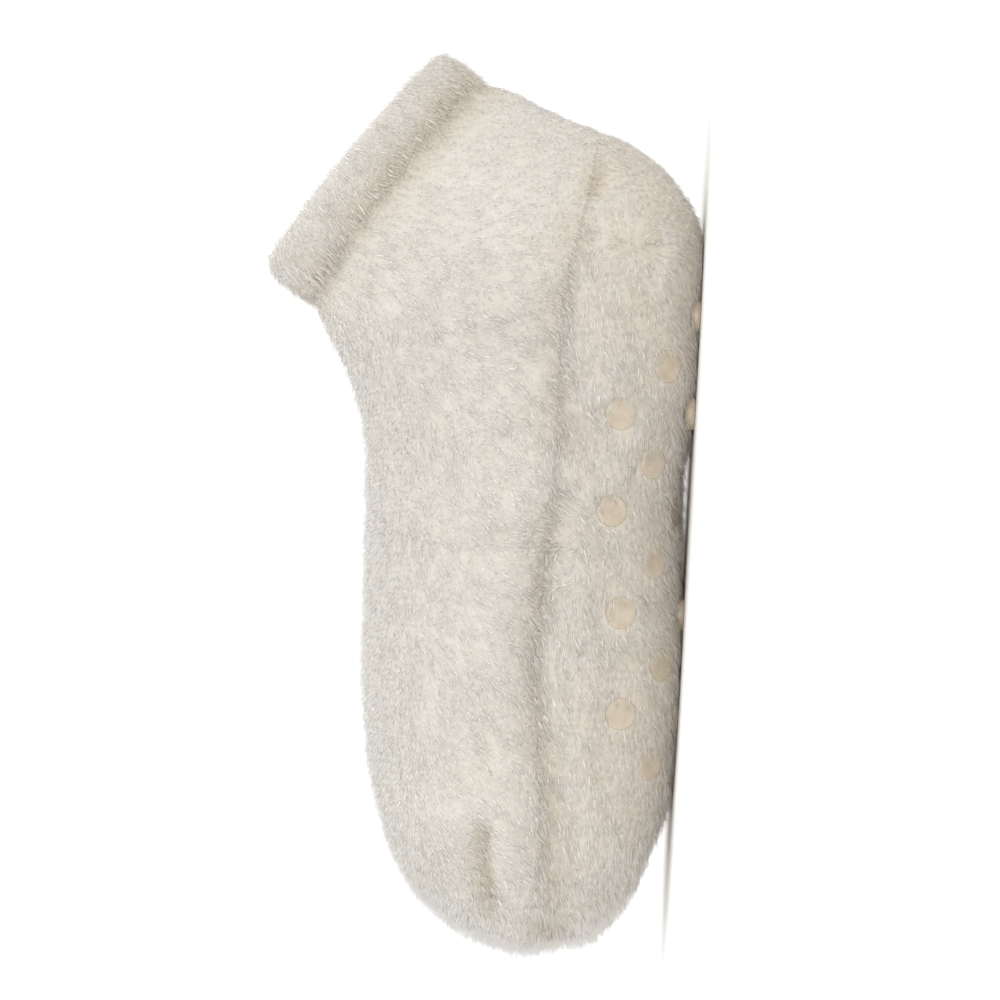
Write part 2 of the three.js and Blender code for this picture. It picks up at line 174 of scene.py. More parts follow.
CREASES = [
    Crease(
        line=(
            (0.01, 0.36),
            (0.115, 0.375),
            (0.225, 0.42),
            (0.36, 0.475),
            (0.52, 0.44),
            (0.545, 0.425),
        ),
        depth=1.5 * MM,
        width=5.0 * MM,
        ridge=0.7 * MM,
    ),
    Crease(
        line=((0.6, 0.4), (0.667, 0.417), (0.77, 0.45), (0.86, 0.43), (0.94, 0.345), (1.0, 0.325)),
        depth=1.0 * MM,
        width=6.5 * MM,
        ridge=0.5 * MM,
    ),
    Crease(line=((0.055, 0.566), (0.14, 0.577)), depth=2.6 * MM, width=3.6 * MM, ridge=0.6 * MM),
    Crease(line=((0.026, 0.3), (0.03, 0.44)), depth=2.4 * MM, width=2.6 * MM, ridge=0.6 * MM),
    Crease(line=((0.858, 0.14), (0.858, 0.28)), depth=1.4 * MM, width=2.2 * MM, ridge=0.5 * MM),
    Crease(line=((0.925, 0.34), (0.985, 0.33)), depth=1.6 * MM, width=3.2 * MM, ridge=0.4 * MM),
]


def through(
    before: np.ndarray, start: np.ndarray, end: np.ndarray, after: np.ndarray, t: np.ndarray
) -> np.ndarray:
    """Follows the smooth curve through four values.

    Args:
        before: Values ahead of the stretch.
        start: Values at the start of the stretch.
        end: Values at its end.
        after: Values past it.
        t: Share of the stretch.

    Returns:
        The values at that share.
    """
    bend = 2 * before - 5 * start + 4 * end - after
    twist = 3 * start - before - 3 * end + after
    return start + 0.5 * t * (end - before + t * (bend + t * twist))


def crossing(
    low: np.ndarray | float, high: np.ndarray | float, value: Callable[[np.ndarray], np.ndarray]
) -> np.ndarray:
    """Finds where rising functions of one number cross zero.

    Args:
        low: Numbers below each crossing.
        high: Numbers above it.
        value: The function, which takes and returns an array.

    Returns:
        The crossings.
    """
    low = np.array(low, dtype=float)
    high = np.array(high, dtype=float)
    for _ in range(HALVINGS):
        middle = (low + high) / 2
        below = value(middle) < 0
        low = np.where(below, middle, low)
        high = np.where(below, high, middle)
    return (low + high) / 2


def fade(values: np.ndarray, start: float, end: float) -> np.ndarray:
    """Returns a soft step that is 0 before start and 1 past end."""
    t = np.clip((values - start) / (end - start), 0, 1)
    return t * t * (3 - 2 * t)


def unit(vectors: np.ndarray) -> np.ndarray:
    """Returns the vectors at length 1."""
    return vectors / np.maximum(np.linalg.norm(vectors, axis=-1, keepdims=True), SAME_LENGTH)


@dataclass(frozen=True)
class Drift:
    """A smooth random vector field.

    The size is the width of its swells, and the seed moves it, so that each use has its own.
    """

    size: float
    seed: float
    strength: float = 1.0

    def at(self, points: np.ndarray) -> np.ndarray:
        """Returns one vector a point, each part about -1 to 1 times the strength."""
        flat = points.reshape(-1, 3) / self.size + self.seed
        vectors = [noise.noise_vector(Vector(point)) for point in flat]
        return np.array(vectors).reshape(points.shape) * self.strength


def distance_to_line(points: np.ndarray, line: np.ndarray) -> np.ndarray:
    """Returns how far points lie from a line of straight stretches."""
    away = np.full(points.shape[:-1], np.inf)
    for start, end in zip(line[:-1], line[1:]):
        stretch = end - start
        t = np.clip(((points - start) @ stretch) / (stretch @ stretch), 0, 1)
        away = np.minimum(away, np.linalg.norm(points - start - t[..., None] * stretch, axis=-1))
    return away


@dataclass
class SockForm:
    """The form of the pile's envelope, in the sizes that the solids follow.

    The matted root of the pile lies under the envelope. Creases waver, swells lift the plush, and
    a valley runs under the hem. All of it calms down round the dots. Shade is painted shade: how
    far the colour of the plush darkens in its troughs, most at the back.
    """

    foot_length: float = 236 * MM
    instep_height: float = 92 * MM
    ball_width: float = 80 * MM
    heel_width: float = 68 * MM
    collar_width: float = 65 * MM
    back_height: float = 80.5 * MM
    front_height: float = 126.5 * MM
    toe_height: float = 38 * MM
    wall: float = 3 * MM
    pile: float = 3 * MM
    matted: float = 0.7 * MM
    gap: float = 0.3 * MM
    nearby: float = 1e-3
    off_tip: float = 0.02
    flank_turn: float = 0.62 * math.pi
    length_samples: int = 400
    waver: float = 3 * MM
    swell: float = 0.75 * MM
    hem_valley: float = 1.7 * MM
    hem_reach: float = 6.5 * MM
    back_part: float = 0.6
    side_band: Band = (0.15, 0.75)
    crease_drift: Drift = Drift(22 * MM, 4.6)
    valley_drift: Drift = Drift(9 * MM, 7.2)
    swells: tuple[Drift, ...] = (Drift(21 * MM, 3.1, 1.2), Drift(9 * MM, 8.4, 0.8))
    # Painted shade in the troughs: the depth that gives full shade, where the back's extra shade
    # comes in, and the front's share.
    full_painted_shade: float = 2.0 * MM
    painted_shade_back: Band = (0.8, 1.0)
    front_painted_shade: float = 0.6
    dot_calm: Band = (5.0 * MM, 10.0 * MM)
    first_dot_row: float = 54.5 * MM
    table: np.ndarray = field(init=False)
    toe_x: float = field(init=False)
    seam_end: float = field(init=False)
    dot_middles: np.ndarray = field(init=False)
    hem_line: Grid = field(init=False)

    def __post_init__(self) -> None:
        """Works out the sections, the toe's place, the hem's line and where the seam ends."""
        tip = (0, self.toe_height, 0, self.toe_height, 0, 2, 2)
        foot = (self.instep_height, self.instep_height)
        ankle = (self.back_height, self.front_height)
        rows = [tip]
        for sections, heights, width in (
            (FOOT_SECTIONS, foot, self.ball_width),
            (HEEL_SECTIONS, ankle, self.heel_width),
            (COLLAR_SECTIONS, ankle, self.collar_width),
        ):
            rows += [self.section(row, *heights, width) for row in sections]
        first = rows[1]
        ahead = (first[2], first[3], first[0], first[1], -first[4], first[5], first[6])
        self.table = np.array([ahead, *rows, rows[-1]])
        middles = np.array([np.mean(np.array(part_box(name)), axis=0) for name in DOT_NAMES])
        self.toe_x = middles[0, 0] - self.first_dot_row
        self.dot_middles = middles - [self.toe_x, 0, 0]
        back, front = self.envelope(np.full(2, float(self.hem_foot)), np.array([0.0, math.pi]))
        across = unit(front - back)
        self.hem_line = (back, np.array([across[2], 0.0, -across[0]]))
        start = len(FOOT_SECTIONS)
        end = crossing(start, self.hem_foot, lambda u: self.above_seam(u, np.zeros_like(u)))
        self.seam_end = float(end)

    @property
    def collar_edge(self) -> int:
        """The station of the collar's edge."""
        return len(self.table) - 3

    @property
    def hem_foot(self) -> int:
        """The station where the hem starts."""
        return self.collar_edge - 1

    def section(
        self, row: tuple[float, ...], low: float, high: float, width: float
    ) -> tuple[float, ...]:
        """Gives a table's row its real sizes."""
        at, under, top_at, top, share, lower, upper = row
        below = (at * self.foot_length, under * low)
        above = (top_at * self.foot_length, top * high)
        return (*below, *above, share * width / 2, lower, upper)

    def blended(self, u: np.ndarray) -> np.ndarray:
        """Returns the sections at the stations u, one a row."""
        index = np.clip(np.floor(u).astype(int), 0, self.collar_edge - 1)
        t = (u - index)[..., None]
        return through(*(self.table[index + step] for step in range(4)), t)

    def envelope(self, u: np.ndarray, angle: np.ndarray) -> np.ndarray:
        """Places points on the pile's envelope.

        Args:
            u: Stations, 0 at the tip of the toe.
            angle: 0 under the foot or behind the ankle, a half turn on top, +Y met first.

        Returns:
            Points with x counted from the tip of the toe.
        """
        u, angle = np.broadcast_arrays(np.asarray(u, dtype=float), np.asarray(angle, dtype=float))
        sole_x, sole_z, top_x, top_z, half, under, over = np.moveaxis(self.blended(u), -1, 0)
        cosine = np.cos(angle)
        sine = np.sin(angle)
        power = 2 / np.where(cosine > 0, under, over)
        rise = (1 - np.sign(cosine) * np.abs(cosine) ** power) / 2
        side = np.sign(sine) * np.abs(sine) ** power
        height = np.maximum(sole_z + rise * (top_z - sole_z), 0)
        return np.stack([sole_x + rise * (top_x - sole_x), half * side, height], axis=-1)

    def directions(
        self, u: np.ndarray, angle: np.ndarray
    ) -> tuple[np.ndarray, np.ndarray, np.ndarray]:
        """Returns the directions along the sock to the collar, round it, and outwards."""
        step = self.nearby
        near = np.maximum(u, self.off_tip)
        along = unit(self.envelope(near + step, angle) - self.envelope(near - step, angle))
        round_it = unit(self.envelope(near, angle + step) - self.envelope(near, angle - step))
        return along, round_it, unit(np.cross(round_it, along))

    def above_seam(self, u: np.ndarray, angle: np.ndarray) -> np.ndarray:
        """Returns how far the envelope lies above the join of sole and upper."""
        points = self.envelope(u, angle)
        at, height = np.array(SEAM_LINE).T * [[self.foot_length], [self.instep_height]]
        return points[..., 2] - np.interp(points[..., 0], at, height)

    def seam_angle(self, u: np.ndarray) -> np.ndarray:
        """Returns the join's angle at each station."""
        top = np.full_like(u, math.pi)
        found = crossing(np.zeros_like(u), top, lambda angle: self.above_seam(u, angle))
        return np.where(u >= self.seam_end, 0.0, found)

    def even_stations(self, start: float, end: float, spacing: float) -> np.ndarray:
        """Returns stations that lie evenly along the flank."""
        fine = np.linspace(start, end, self.length_samples)
        line = (self.envelope(fine, 0.0) + self.envelope(fine, self.flank_turn)) / 2
        lengths = np.concatenate([[0], np.cumsum(np.linalg.norm(np.diff(line, axis=0), axis=1))])
        count = max(2, round(lengths[-1] / spacing))
        return np.interp(np.linspace(0, lengths[-1], count + 1), lengths, fine)

    def shares(self, points: np.ndarray) -> Grid:
        """Returns points' places as shares of the foot's length and of the instep's height."""
        return points[..., 0] / self.foot_length, points[..., 2] / self.instep_height

    def troughs(self, points: np.ndarray, outward: np.ndarray) -> np.ndarray:
        """Works out the depth of the creases and of the valley under the hem.

        Args:
            points: Places on the envelope, x counted from the toe.
            outward: Directions out of it.

        Returns:
            Depths in metres, below 0 on a ridge.
        """
        flank = points[..., [0, 2]] + self.waver * self.crease_drift.at(points)[..., [0, 2]]
        sideways = np.abs(outward[..., 1]) - self.back_part * outward[..., 0]
        on_side = fade(sideways, *self.side_band)
        depth = np.zeros(points.shape[:-1])
        for crease in CREASES:
            line = np.array(crease.line) * [self.foot_length, self.instep_height]
            away = distance_to_line(flank, line)
            depth += on_side * crease.across(away)
        back, upwards = self.hem_line
        under_hem = (points - back) @ upwards + self.waver * self.valley_drift.at(points)[..., 0]
        return depth + self.hem_valley * np.exp(-((under_hem / self.hem_reach) ** 2))

    def relief(self, points: np.ndarray, outward: np.ndarray) -> np.ndarray:
        """Returns the depth of the plush's troughs and swells, which calm down at the dots."""
        swell = sum(swells.at(points)[..., 0] for swells in self.swells)
        away = np.linalg.norm(points[..., None, :] - self.dot_middles, axis=-1).min(axis=-1)
        return (self.troughs(points, outward) + swell * self.swell) * fade(away, *self.dot_calm)

    def shade(self, u: np.ndarray, angle: np.ndarray) -> np.ndarray:
        """Returns the painted shade in the plush's troughs, from 0 to 1."""
        points = self.envelope(u, angle)
        behind = fade(self.shares(points)[0], *self.painted_shade_back)
        troughs = self.troughs(points, self.directions(u, angle)[2]) / self.full_painted_shade
        return np.clip(troughs, 0, 1) * (self.front_painted_shade + (1 - self.front_painted_shade) * behind)

    def surface(self, u: np.ndarray, angle: np.ndarray, depth: np.ndarray | float) -> np.ndarray:
        """Places points under the envelope in the frame's own axes.

        Args:
            u: Stations.
            angle: Angles.
            depth: Depth under the envelope, before creases.

        Returns:
            Points in the frame.
        """
        outward = self.directions(u, angle)[2]
        points = self.envelope(u, angle)
        deep = (self.relief(points, outward) + depth)[..., None]
        return points - outward * deep + [self.toe_x, 0, 0]


@dataclass
class Groom:
    """How the pile is brushed: which way it grows, leans and how long it is.

    Leans are in radians from upright. A band is where a change comes in, in shares of the foot's
    length or of the instep's height. The border is the hem's lower edge, the brink its upper one.
    """

    form: SockForm
    comb_least: float = 0.15
    comb_more: float = 0.75
    comb_height: float = 0.62
    comb_band: float = 0.22
    swirl: float = 0.45
    swirls: tuple[Drift, ...] = (Drift(14 * MM, 1.7), Drift(6 * MM, 5.3, 0.7))
    heel_whorl: Band = (0.858, 0.22)
    whorl_reach: float = 17 * MM
    whorl_hold: float = 0.85
    whorl_pull: float = 0.95
    matted_spot: Band = (0.475, 0.38)
    matted_reach: float = 13 * MM
    matted_hold: float = 0.8
    matted_drift: Drift = Drift(5 * MM, 9.9, 1.2)
    flank_lean: float = 1.15
    top_rise: float = 0.4
    top_band: Band = (0.72, 0.98)
    ankle_band: Band = (0.6, 0.78)
    under_rise: float = 0.3
    under_band: Band = (0.04, 0.22)
    toe_band: Band = (-0.02, 0.14)
    hem_lean: float = 1.0
    border_lean: float = 0.4
    brink_rise: float = 0.45
    high_cut: float = 0.08
    high_band: Band = (0.4, 0.8)
    toe_growth: float = 0.12
    growth_band: Band = (0.05, 0.2)
    heel_cut: float = 0.28
    heel_band: Band = (0.72, 0.98)
    floor_cut: float = 0.1
    floor_band: Band = (0.0, 0.1)
    hem_reach: float = 0.85
    border_growth: float = 0.55
    brink_growth: float = 0.15

    def comb_angle(self, points: np.ndarray) -> np.ndarray:
        """Returns the angle of the brushing, 0 towards the toe and a quarter turn downwards."""
        height = self.form.shares(points)[1]
        middle = np.exp(-(((height - self.comb_height) / self.comb_band) ** 2))
        return self.comb_least + self.comb_more * middle

    @property
    def hem_middle(self) -> float:
        """The station half way up the hem."""
        return (self.form.hem_foot + self.form.collar_edge) / 2

    def border(self, u: np.ndarray) -> np.ndarray:
        """Returns 1 at the lower border of the hem and 0 from the middle of the hem up."""
        return 1 - fade(u, self.form.hem_foot, self.hem_middle)

    def brink(self, u: np.ndarray) -> np.ndarray:
        """Returns 1 at the collar's edge and 0 from the middle of the hem down."""
        return fade(u, self.hem_middle, self.form.collar_edge)

    def lean(self, u: np.ndarray, points: np.ndarray, region: Region) -> np.ndarray:
        """Returns how far strands lean from upright, in radians."""
        if region is Region.HEM:
            border, brink = self.border(u), self.brink(u)
            return self.hem_lean + self.border_lean * border - self.brink_rise * brink
        at, height = self.form.shares(points)
        instep = fade(height, *self.top_band) * (1 - fade(at, *self.ankle_band))
        underneath = 1 - fade(height, *self.under_band)
        leaned = self.flank_lean - self.top_rise * instep - self.under_rise * underneath
        return leaned * fade(at, *self.toe_band)

    def reach(self, u: np.ndarray, points: np.ndarray, region: Region) -> np.ndarray:
        """Returns the strands' length as a share of the usual one."""
        if region is Region.HEM:
            border, brink = self.border(u), self.brink(u)
            return self.hem_reach + self.border_growth * border + self.brink_growth * brink
        at, height = self.form.shares(points)
        length = 1.0 - self.high_cut * fade(height, *self.high_band)
        length += self.toe_growth * (1 - fade(at, *self.growth_band))
        length -= self.heel_cut * fade(at, *self.heel_band)
        return length * (1 - self.floor_cut * (1 - fade(height, *self.floor_band)))

    def around(self, points: np.ndarray, centre: tuple[float, float], reach: float) -> Grid:
        """Finds the way out from a spot on the flank, and how near it is.

        Args:
            points: Places on the envelope.
            centre: The spot, in shares of the foot's length and the instep's height.
            reach: How far the spot works.

        Returns:
            Directions away from the spot, and shares that are 1 at the spot and 0 far off.
        """
        at, height = centre
        middle = np.array([at * self.form.foot_length, 0, height * self.form.instep_height])
        away = (points - middle) * [1, 0, 1]
        share = np.exp(-((np.linalg.norm(away, axis=-1) / reach) ** 2))
        return unit(away), share[..., None]

    def directions(
        self, u: np.ndarray, angle: np.ndarray, region: Region
    ) -> dict[str, np.ndarray]:
        """Works out the groom at places on the envelope.

        Args:
            u: Stations.
            angle: Angles.
            region: Which part of the sock it is.

        Returns:
            The growing direction "stem", the brushing direction "brush" and the length "reach".
        """
        along, round_it, outward = self.form.directions(u, angle)
        points = self.form.envelope(u, angle)
        up = round_it * np.sin(angle)[..., None]
        comb = self.comb_angle(points)[..., None]
        brush = -np.cos(comb) * along - np.sin(comb) * up
        if region is Region.HEM:
            brush = -along
        brush = brush + self.swirl * sum(swirls.at(points) for swirls in self.swirls)
        if region is not Region.HEM:
            out, near = self.around(points, self.heel_whorl, self.whorl_reach)
            brush = brush * (1 - self.whorl_hold * near) + self.whorl_pull * out * near
            out, near = self.around(points, self.matted_spot, self.matted_reach)
            turned = np.cross(out, outward) + self.matted_drift.at(points)
            brush = brush * (1 - self.matted_hold * near) + turned * near
        brush = unit(brush - outward * np.sum(brush * outward, axis=-1, keepdims=True))
        lean = self.lean(u, points, region)[..., None]
        stem = unit(outward * np.cos(lean) + brush * np.sin(lean))
        return {"stem": stem, "brush": brush, "reach": self.reach(u, points, region)}


def mesh_object(name: str, vertices: np.ndarray, faces: list[tuple[int, ...]]) -> bpy.types.Object:
    """Makes a smooth mesh object from points and faces, and links it to the scene."""
    mesh = bpy.data.meshes.new(name)
    mesh.from_pydata([tuple(point) for point in vertices], [], faces)
    mesh.validate()
    mesh.shade_smooth()
    made = bpy.data.objects.new(name, mesh)
    bpy.context.scene.collection.objects.link(made)
    return made


def merged(made: bpy.types.Object) -> None:
    """Merges the points of a mesh that lie in one place."""
    work = bmesh.new()
    work.from_mesh(made.data)
    bmesh.ops.remove_doubles(work, verts=work.verts, dist=SAME_PLACE)
    bmesh.ops.dissolve_degenerate(work, edges=work.edges, dist=SAME_PLACE)
    work.to_mesh(made.data)
    work.free()
    made.data.shade_smooth()


def grid_faces(rows: int, columns: int) -> list[tuple[int, ...]]:
    """Returns the faces of a grid of points that is laid out row by row."""
    faces = []
    for row in range(rows - 1):
        for column in range(columns - 1):
            corner = row * columns + column
            faces.append((corner, corner + 1, corner + columns + 1, corner + columns))
    return faces


def listed(values: np.ndarray) -> np.ndarray:
    """Returns a grid's vectors or numbers as a list."""
    return values.reshape(-1, 3) if values.ndim > 2 else values.reshape(-1)


def attach(made: bpy.types.Object, values: dict[str, np.ndarray]) -> None:
    """Stores vectors and numbers on a mesh's points under their names."""
    for name, data in values.items():
        is_vector = data.ndim > 1 and data.shape[-1] == 3
        kind, key = ("FLOAT_VECTOR", "vector") if is_vector else ("FLOAT", "value")
        attribute = made.data.attributes.new(name, kind, "POINT")
        attribute.data.foreach_set(key, data.reshape(-1).astype(np.float32))


class NodeTree:
    """Nodes and links under construction."""

    tree: bpy.types.NodeTree

    def node(self, kind: str, inputs: dict | None = None, **settings) -> bpy.types.Node:
        """Adds a node.

        Args:
            kind: The node's type.
            inputs: Values or sockets for its inputs, by name or place.
            settings: The node's own properties.

        Returns:
            The node.
        """
        made = self.tree.nodes.new(kind)
        for name, value in settings.items():
            setattr(made, name, value)
        for place, value in (inputs or {}).items():
            if isinstance(value, bpy.types.NodeSocket):
                self.tree.links.new(value, made.inputs[place])
            else:
                made.inputs[place].default_value = value
        return made

    def math(self, operation: str, *values) -> bpy.types.NodeSocket:
        """Adds a sum of numbers or sockets and returns its result."""
        inputs = dict(enumerate(values))
        return self.node("ShaderNodeMath", inputs, operation=operation).outputs[0]


class GrowTree(NodeTree):
    """A Geometry Nodes tree under construction."""

    def __init__(self, name: str, inputs: dict[str, str]) -> None:
        """Starts a Geometry Nodes tree.

        Args:
            name: The tree's name.
            inputs: Socket types of the named inputs past the geometry.
        """
        self.tree = bpy.data.node_groups.new(name, "GeometryNodeTree")
        self.tree.interface.new_socket(
            "Geometry", in_out="INPUT", socket_type="NodeSocketGeometry"
        )
        for label, kind in inputs.items():
            self.tree.interface.new_socket(label, in_out="INPUT", socket_type=kind)
        self.tree.interface.new_socket(
            "Geometry", in_out="OUTPUT", socket_type="NodeSocketGeometry"
        )
        self.input = self.tree.nodes.new("NodeGroupInput")
        self.output = self.tree.nodes.new("NodeGroupOutput")

    def random(self, kind: str, low, high, seed) -> bpy.types.NodeSocket:
        """Adds a random value of its own for each point and returns its socket."""
        places = {"FLOAT_VECTOR": (0, 1, 0), "FLOAT": (2, 3, 1), "INT": (4, 5, 2)}
        first, second, result = places[kind]
        inputs = {first: low, second: high, "Seed": seed}
        made = self.node("FunctionNodeRandomValue", inputs, data_type=kind)
        return made.outputs[result]

    def named(self, name: str, kind: str) -> bpy.types.NodeSocket:
        """Adds the reading of a named attribute and returns its socket."""
        return self.node("GeometryNodeInputNamedAttribute", {0: name}, data_type=kind).outputs[0]

    def finish(
        self, geometry: bpy.types.NodeSocket, material: bpy.types.NodeSocket
    ) -> bpy.types.NodeTree:
        """Realizes the instances, sets the material and closes the tree."""
        real = self.node("GeometryNodeRealizeInstances", {0: geometry})
        dressed = self.node("GeometryNodeSetMaterial", {0: real.outputs[0], "Material": material})
        self.tree.links.new(dressed.outputs[0], self.output.inputs[0])
        return self.tree


def grown(
    source: bpy.types.Object, tree: bpy.types.NodeTree, values: dict, name: str
) -> bpy.types.Object:
    """Runs a tree on an object and keeps the result as a plain mesh.

    Args:
        source: The object that the tree grows on. It is removed afterwards.
        tree: The tree.
        values: Values of its named inputs.
        name: Name of the new object.

    Returns:
        The new object.
    """
    modifier = source.modifiers.new("grow", "NODES")
    modifier.node_group = tree
    for item in tree.interface.items_tree:
        if item.item_type == "SOCKET" and item.in_out == "INPUT" and item.name in values:
            modifier[item.identifier] = values[item.name]
    bpy.context.view_layer.update()
    graph = bpy.context.evaluated_depsgraph_get()
    mesh = bpy.data.meshes.new_from_object(source.evaluated_get(graph))
    mesh.name = name
    source.modifiers.remove(modifier)
    bpy.data.objects.remove(source)
    made = bpy.data.objects.new(name, mesh)
    bpy.context.scene.collection.objects.link(made)
    return made


# The scatter of the tufts: the most a square metre, how far each strays for its share of the
# stray, the highest number that picks a tuft, and the seeds.
TUFT_DENSITY = 4.0e6
STRAY_TURNS = (1.0, 1.0, 3.0)
MOST_PICKED = 1000
TONE_SEED = 11
STRAY_SEED = 23
LENGTH_SEED = 37
PICK_SEED = 41


def pile_tree() -> bpy.types.NodeTree:
    """Builds the tree that grows tufts of pile on a panel."""
    tree = GrowTree(
        "grow_pile",
        {
            "Tufts": "NodeSocketCollection",
            "Dot Centres": "NodeSocketObject",
            "Spacing": "NodeSocketFloat",
            "Bare Radius": "NodeSocketFloat",
            "Length Spread": "NodeSocketFloat",
            "Stray": "NodeSocketFloat",
            "Floor": "NodeSocketFloat",
            "Seed": "NodeSocketInt",
            "Material": "NodeSocketMaterial",
        },
    )
    given = tree.input.outputs
    points = tree.node(
        "GeometryNodeDistributePointsOnFaces",
        {
            "Mesh": given["Geometry"],
            "Distance Min": given["Spacing"],
            "Density Max": TUFT_DENSITY,
            "Seed": given["Seed"],
        },
        distribute_method="POISSON",
    )
    dots = tree.node("GeometryNodeObjectInfo", {"Object": given["Dot Centres"]})
    near = tree.node(
        "GeometryNodeProximity", {0: dots.outputs["Geometry"]}, target_element="POINTS"
    )
    under = tree.math("LESS_THAN", near.outputs["Distance"], given["Bare Radius"])
    kept = tree.node(
        "GeometryNodeDeleteGeometry", {0: points.outputs[0], 1: under}, domain="POINT"
    )
    tone = tree.random("FLOAT", 0.0, 1.0, TONE_SEED)
    toned = tree.node(
        "GeometryNodeStoreNamedAttribute",
        {"Geometry": kept.outputs[0], "Name": "tone", "Value": tone},
        data_type="FLOAT",
        domain="POINT",
    )
    facing = tree.node(
        "FunctionNodeAxesToRotation",
        {0: tree.named("stem", "FLOAT_VECTOR"), 1: tree.named("brush", "FLOAT_VECTOR")},
        primary_axis="Z",
        secondary_axis="X",
    )
    least, most = tuple(-turn for turn in STRAY_TURNS), STRAY_TURNS
    spread = tree.random("FLOAT_VECTOR", least, most, STRAY_SEED)
    strayed = tree.node("ShaderNodeVectorMath", {0: spread, 3: given["Stray"]}, operation="SCALE")
    by = tree.node("FunctionNodeEulerToRotation", {0: strayed.outputs[0]})
    turned = tree.node(
        "FunctionNodeRotateRotation",
        {0: facing.outputs[0], 1: by.outputs[0]},
        rotation_space="LOCAL",
    )
    swing = tree.random("FLOAT", -1.0, 1.0, LENGTH_SEED)
    varied = tree.math("MULTIPLY_ADD", swing, given["Length Spread"], 1.0)
    sized = tree.math("MULTIPLY", varied, tree.named("reach", "FLOAT"))
    tufts = tree.node("GeometryNodeCollectionInfo", {0: given["Tufts"], 1: True, 2: True})
    pick = tree.random("INT", 0, MOST_PICKED, PICK_SEED)
    placed = tree.node(
        "GeometryNodeInstanceOnPoints",
        {
            "Points": toned.outputs[0],
            "Instance": tufts.outputs[0],
            "Pick Instance": True,
            "Instance Index": pick,
            "Rotation": turned.outputs[0],
            "Scale": sized,
        },
    )
    real = tree.node("GeometryNodeRealizeInstances", {0: placed.outputs[0]})
    place = tree.node("GeometryNodeInputPosition")
    split = tree.node("ShaderNodeSeparateXYZ", {0: place.outputs[0]})
    lifted = tree.math("MAXIMUM", split.outputs[2], given["Floor"])
    joined = tree.node(
        "ShaderNodeCombineXYZ", {0: split.outputs[0], 1: split.outputs[1], 2: lifted}
    )
    moved = tree.node(
        "GeometryNodeSetPosition", {0: real.outputs[0], "Position": joined.outputs[0]}
    )
    return tree.finish(moved.outputs[0], given["Material"])


def stamp_tree() -> bpy.types.NodeTree:
    """Builds the tree that sets a moulded disc on each point, facing along its own direction."""
    tree = GrowTree("set_discs", {"Disc": "NodeSocketObject", "Material": "NodeSocketMaterial"})
    given = tree.input.outputs
    disc = tree.node("GeometryNodeObjectInfo", {"Object": given["Disc"], "As Instance": True})
    outwards = tree.named("facing", "FLOAT_VECTOR")
    facing = tree.node("FunctionNodeAlignRotationToVector", {"Vector": outwards}, axis="Z")
    placed = tree.node(
        "GeometryNodeInstanceOnPoints",
        {
            "Points": given["Geometry"],
            "Instance": disc.outputs["Geometry"],
            "Rotation": facing.outputs[0],
        },
    )
    return tree.finish(placed.outputs[0], given["Material"])


@dataclass
class TuftSet:
    """The tufts that the pile is grown from: wide matted locks with fine strands among them."""

    name: str
    variants: int = 12
    locks: int = 1
    strands: int = 12
    lock_width: float = 0.5 * MM
    strand_width: float = 0.16 * MM
    lock_length: float = 2.4 * MM
    strand_length: float = 3.2 * MM
    spread: float = 1.2 * MM
    gather: float = 0.25
    stray: float = 0.2 * MM
    bow: float = 0.6 * MM
    sunk: float = 0.3 * MM
    gather_range: Band = (0.4, 1.3)
    bow_range: Band = (0.2, 1.8)
    length_range: Band = (0.7, 1.2)
    seed: int = 5

    def strand(self, draw: np.random.Generator, width: float, length: float) -> np.ndarray:
        """Shapes one strand: three points round its root, and its tip.

        Args:
            draw: The random numbers.
            width: The strand's width.
            length: Its length.

        Returns:
            Its four points.
        """
        turn = draw.uniform(0, FULL_TURN)
        away = self.spread * math.sqrt(draw.uniform(0, 1))
        root = np.array([away * math.cos(turn), away * math.sin(turn), -self.sunk])
        tip = root * (1 - self.gather * draw.uniform(*self.gather_range))
        tip[:2] += draw.normal(0, self.stray, 2)
        tip[0] += self.bow * draw.uniform(*self.bow_range)
        tip[2] = length * draw.uniform(*self.length_range)
        turns = draw.uniform(0, FULL_TURN) + np.arange(3) * FULL_TURN / 3
        ring = root + np.stack([np.cos(turns), np.sin(turns), np.zeros(3)], axis=1) * width / 2
        return np.vstack([ring, tip])

    def tuft(self, number: int, draw: np.random.Generator) -> bpy.types.Object:
        """Joins the locks and strands of one tuft into a mesh."""
        points = []
        faces = []
        pieces = [(self.lock_width, self.lock_length)] * self.locks
        pieces += [(self.strand_width, self.strand_length)] * self.strands
        for width, length in pieces:
            start = 4 * len(points)
            points.append(self.strand(draw, width, length))
            faces.append((start + 2, start + 1, start))
            for side in range(3):
                faces.append((start + side, start + (side + 1) % 3, start + 3))
        made = mesh_object(f"{self.name}_{number:02d}", np.vstack(points), faces)
        attach(made, {"tip": np.tile([0.0, 0.0, 0.0, 1.0], len(points))})
        return made

    def collection(self) -> bpy.types.Collection:
        """Makes the variants in a collection of their own."""
        draw = np.random.default_rng(self.seed)
        group = bpy.data.collections.new(self.name)
        bpy.context.scene.collection.children.link(group)
        for number in range(self.variants):
            made = self.tuft(number, draw)
            bpy.context.scene.collection.objects.unlink(made)
            group.objects.link(made)
        return group


def removed(group: bpy.types.Collection) -> None:
    """Deletes a collection and what is in it."""
    for item in list(group.objects):
        bpy.data.objects.remove(item)
    bpy.data.collections.remove(group)


@dataclass(frozen=True)
class Mottle:
    """Clouds of one colour in another: their size, where they start, and their strength."""

    size: float
    band: Band
    most: float = 1.0
    detail: float = 3.0


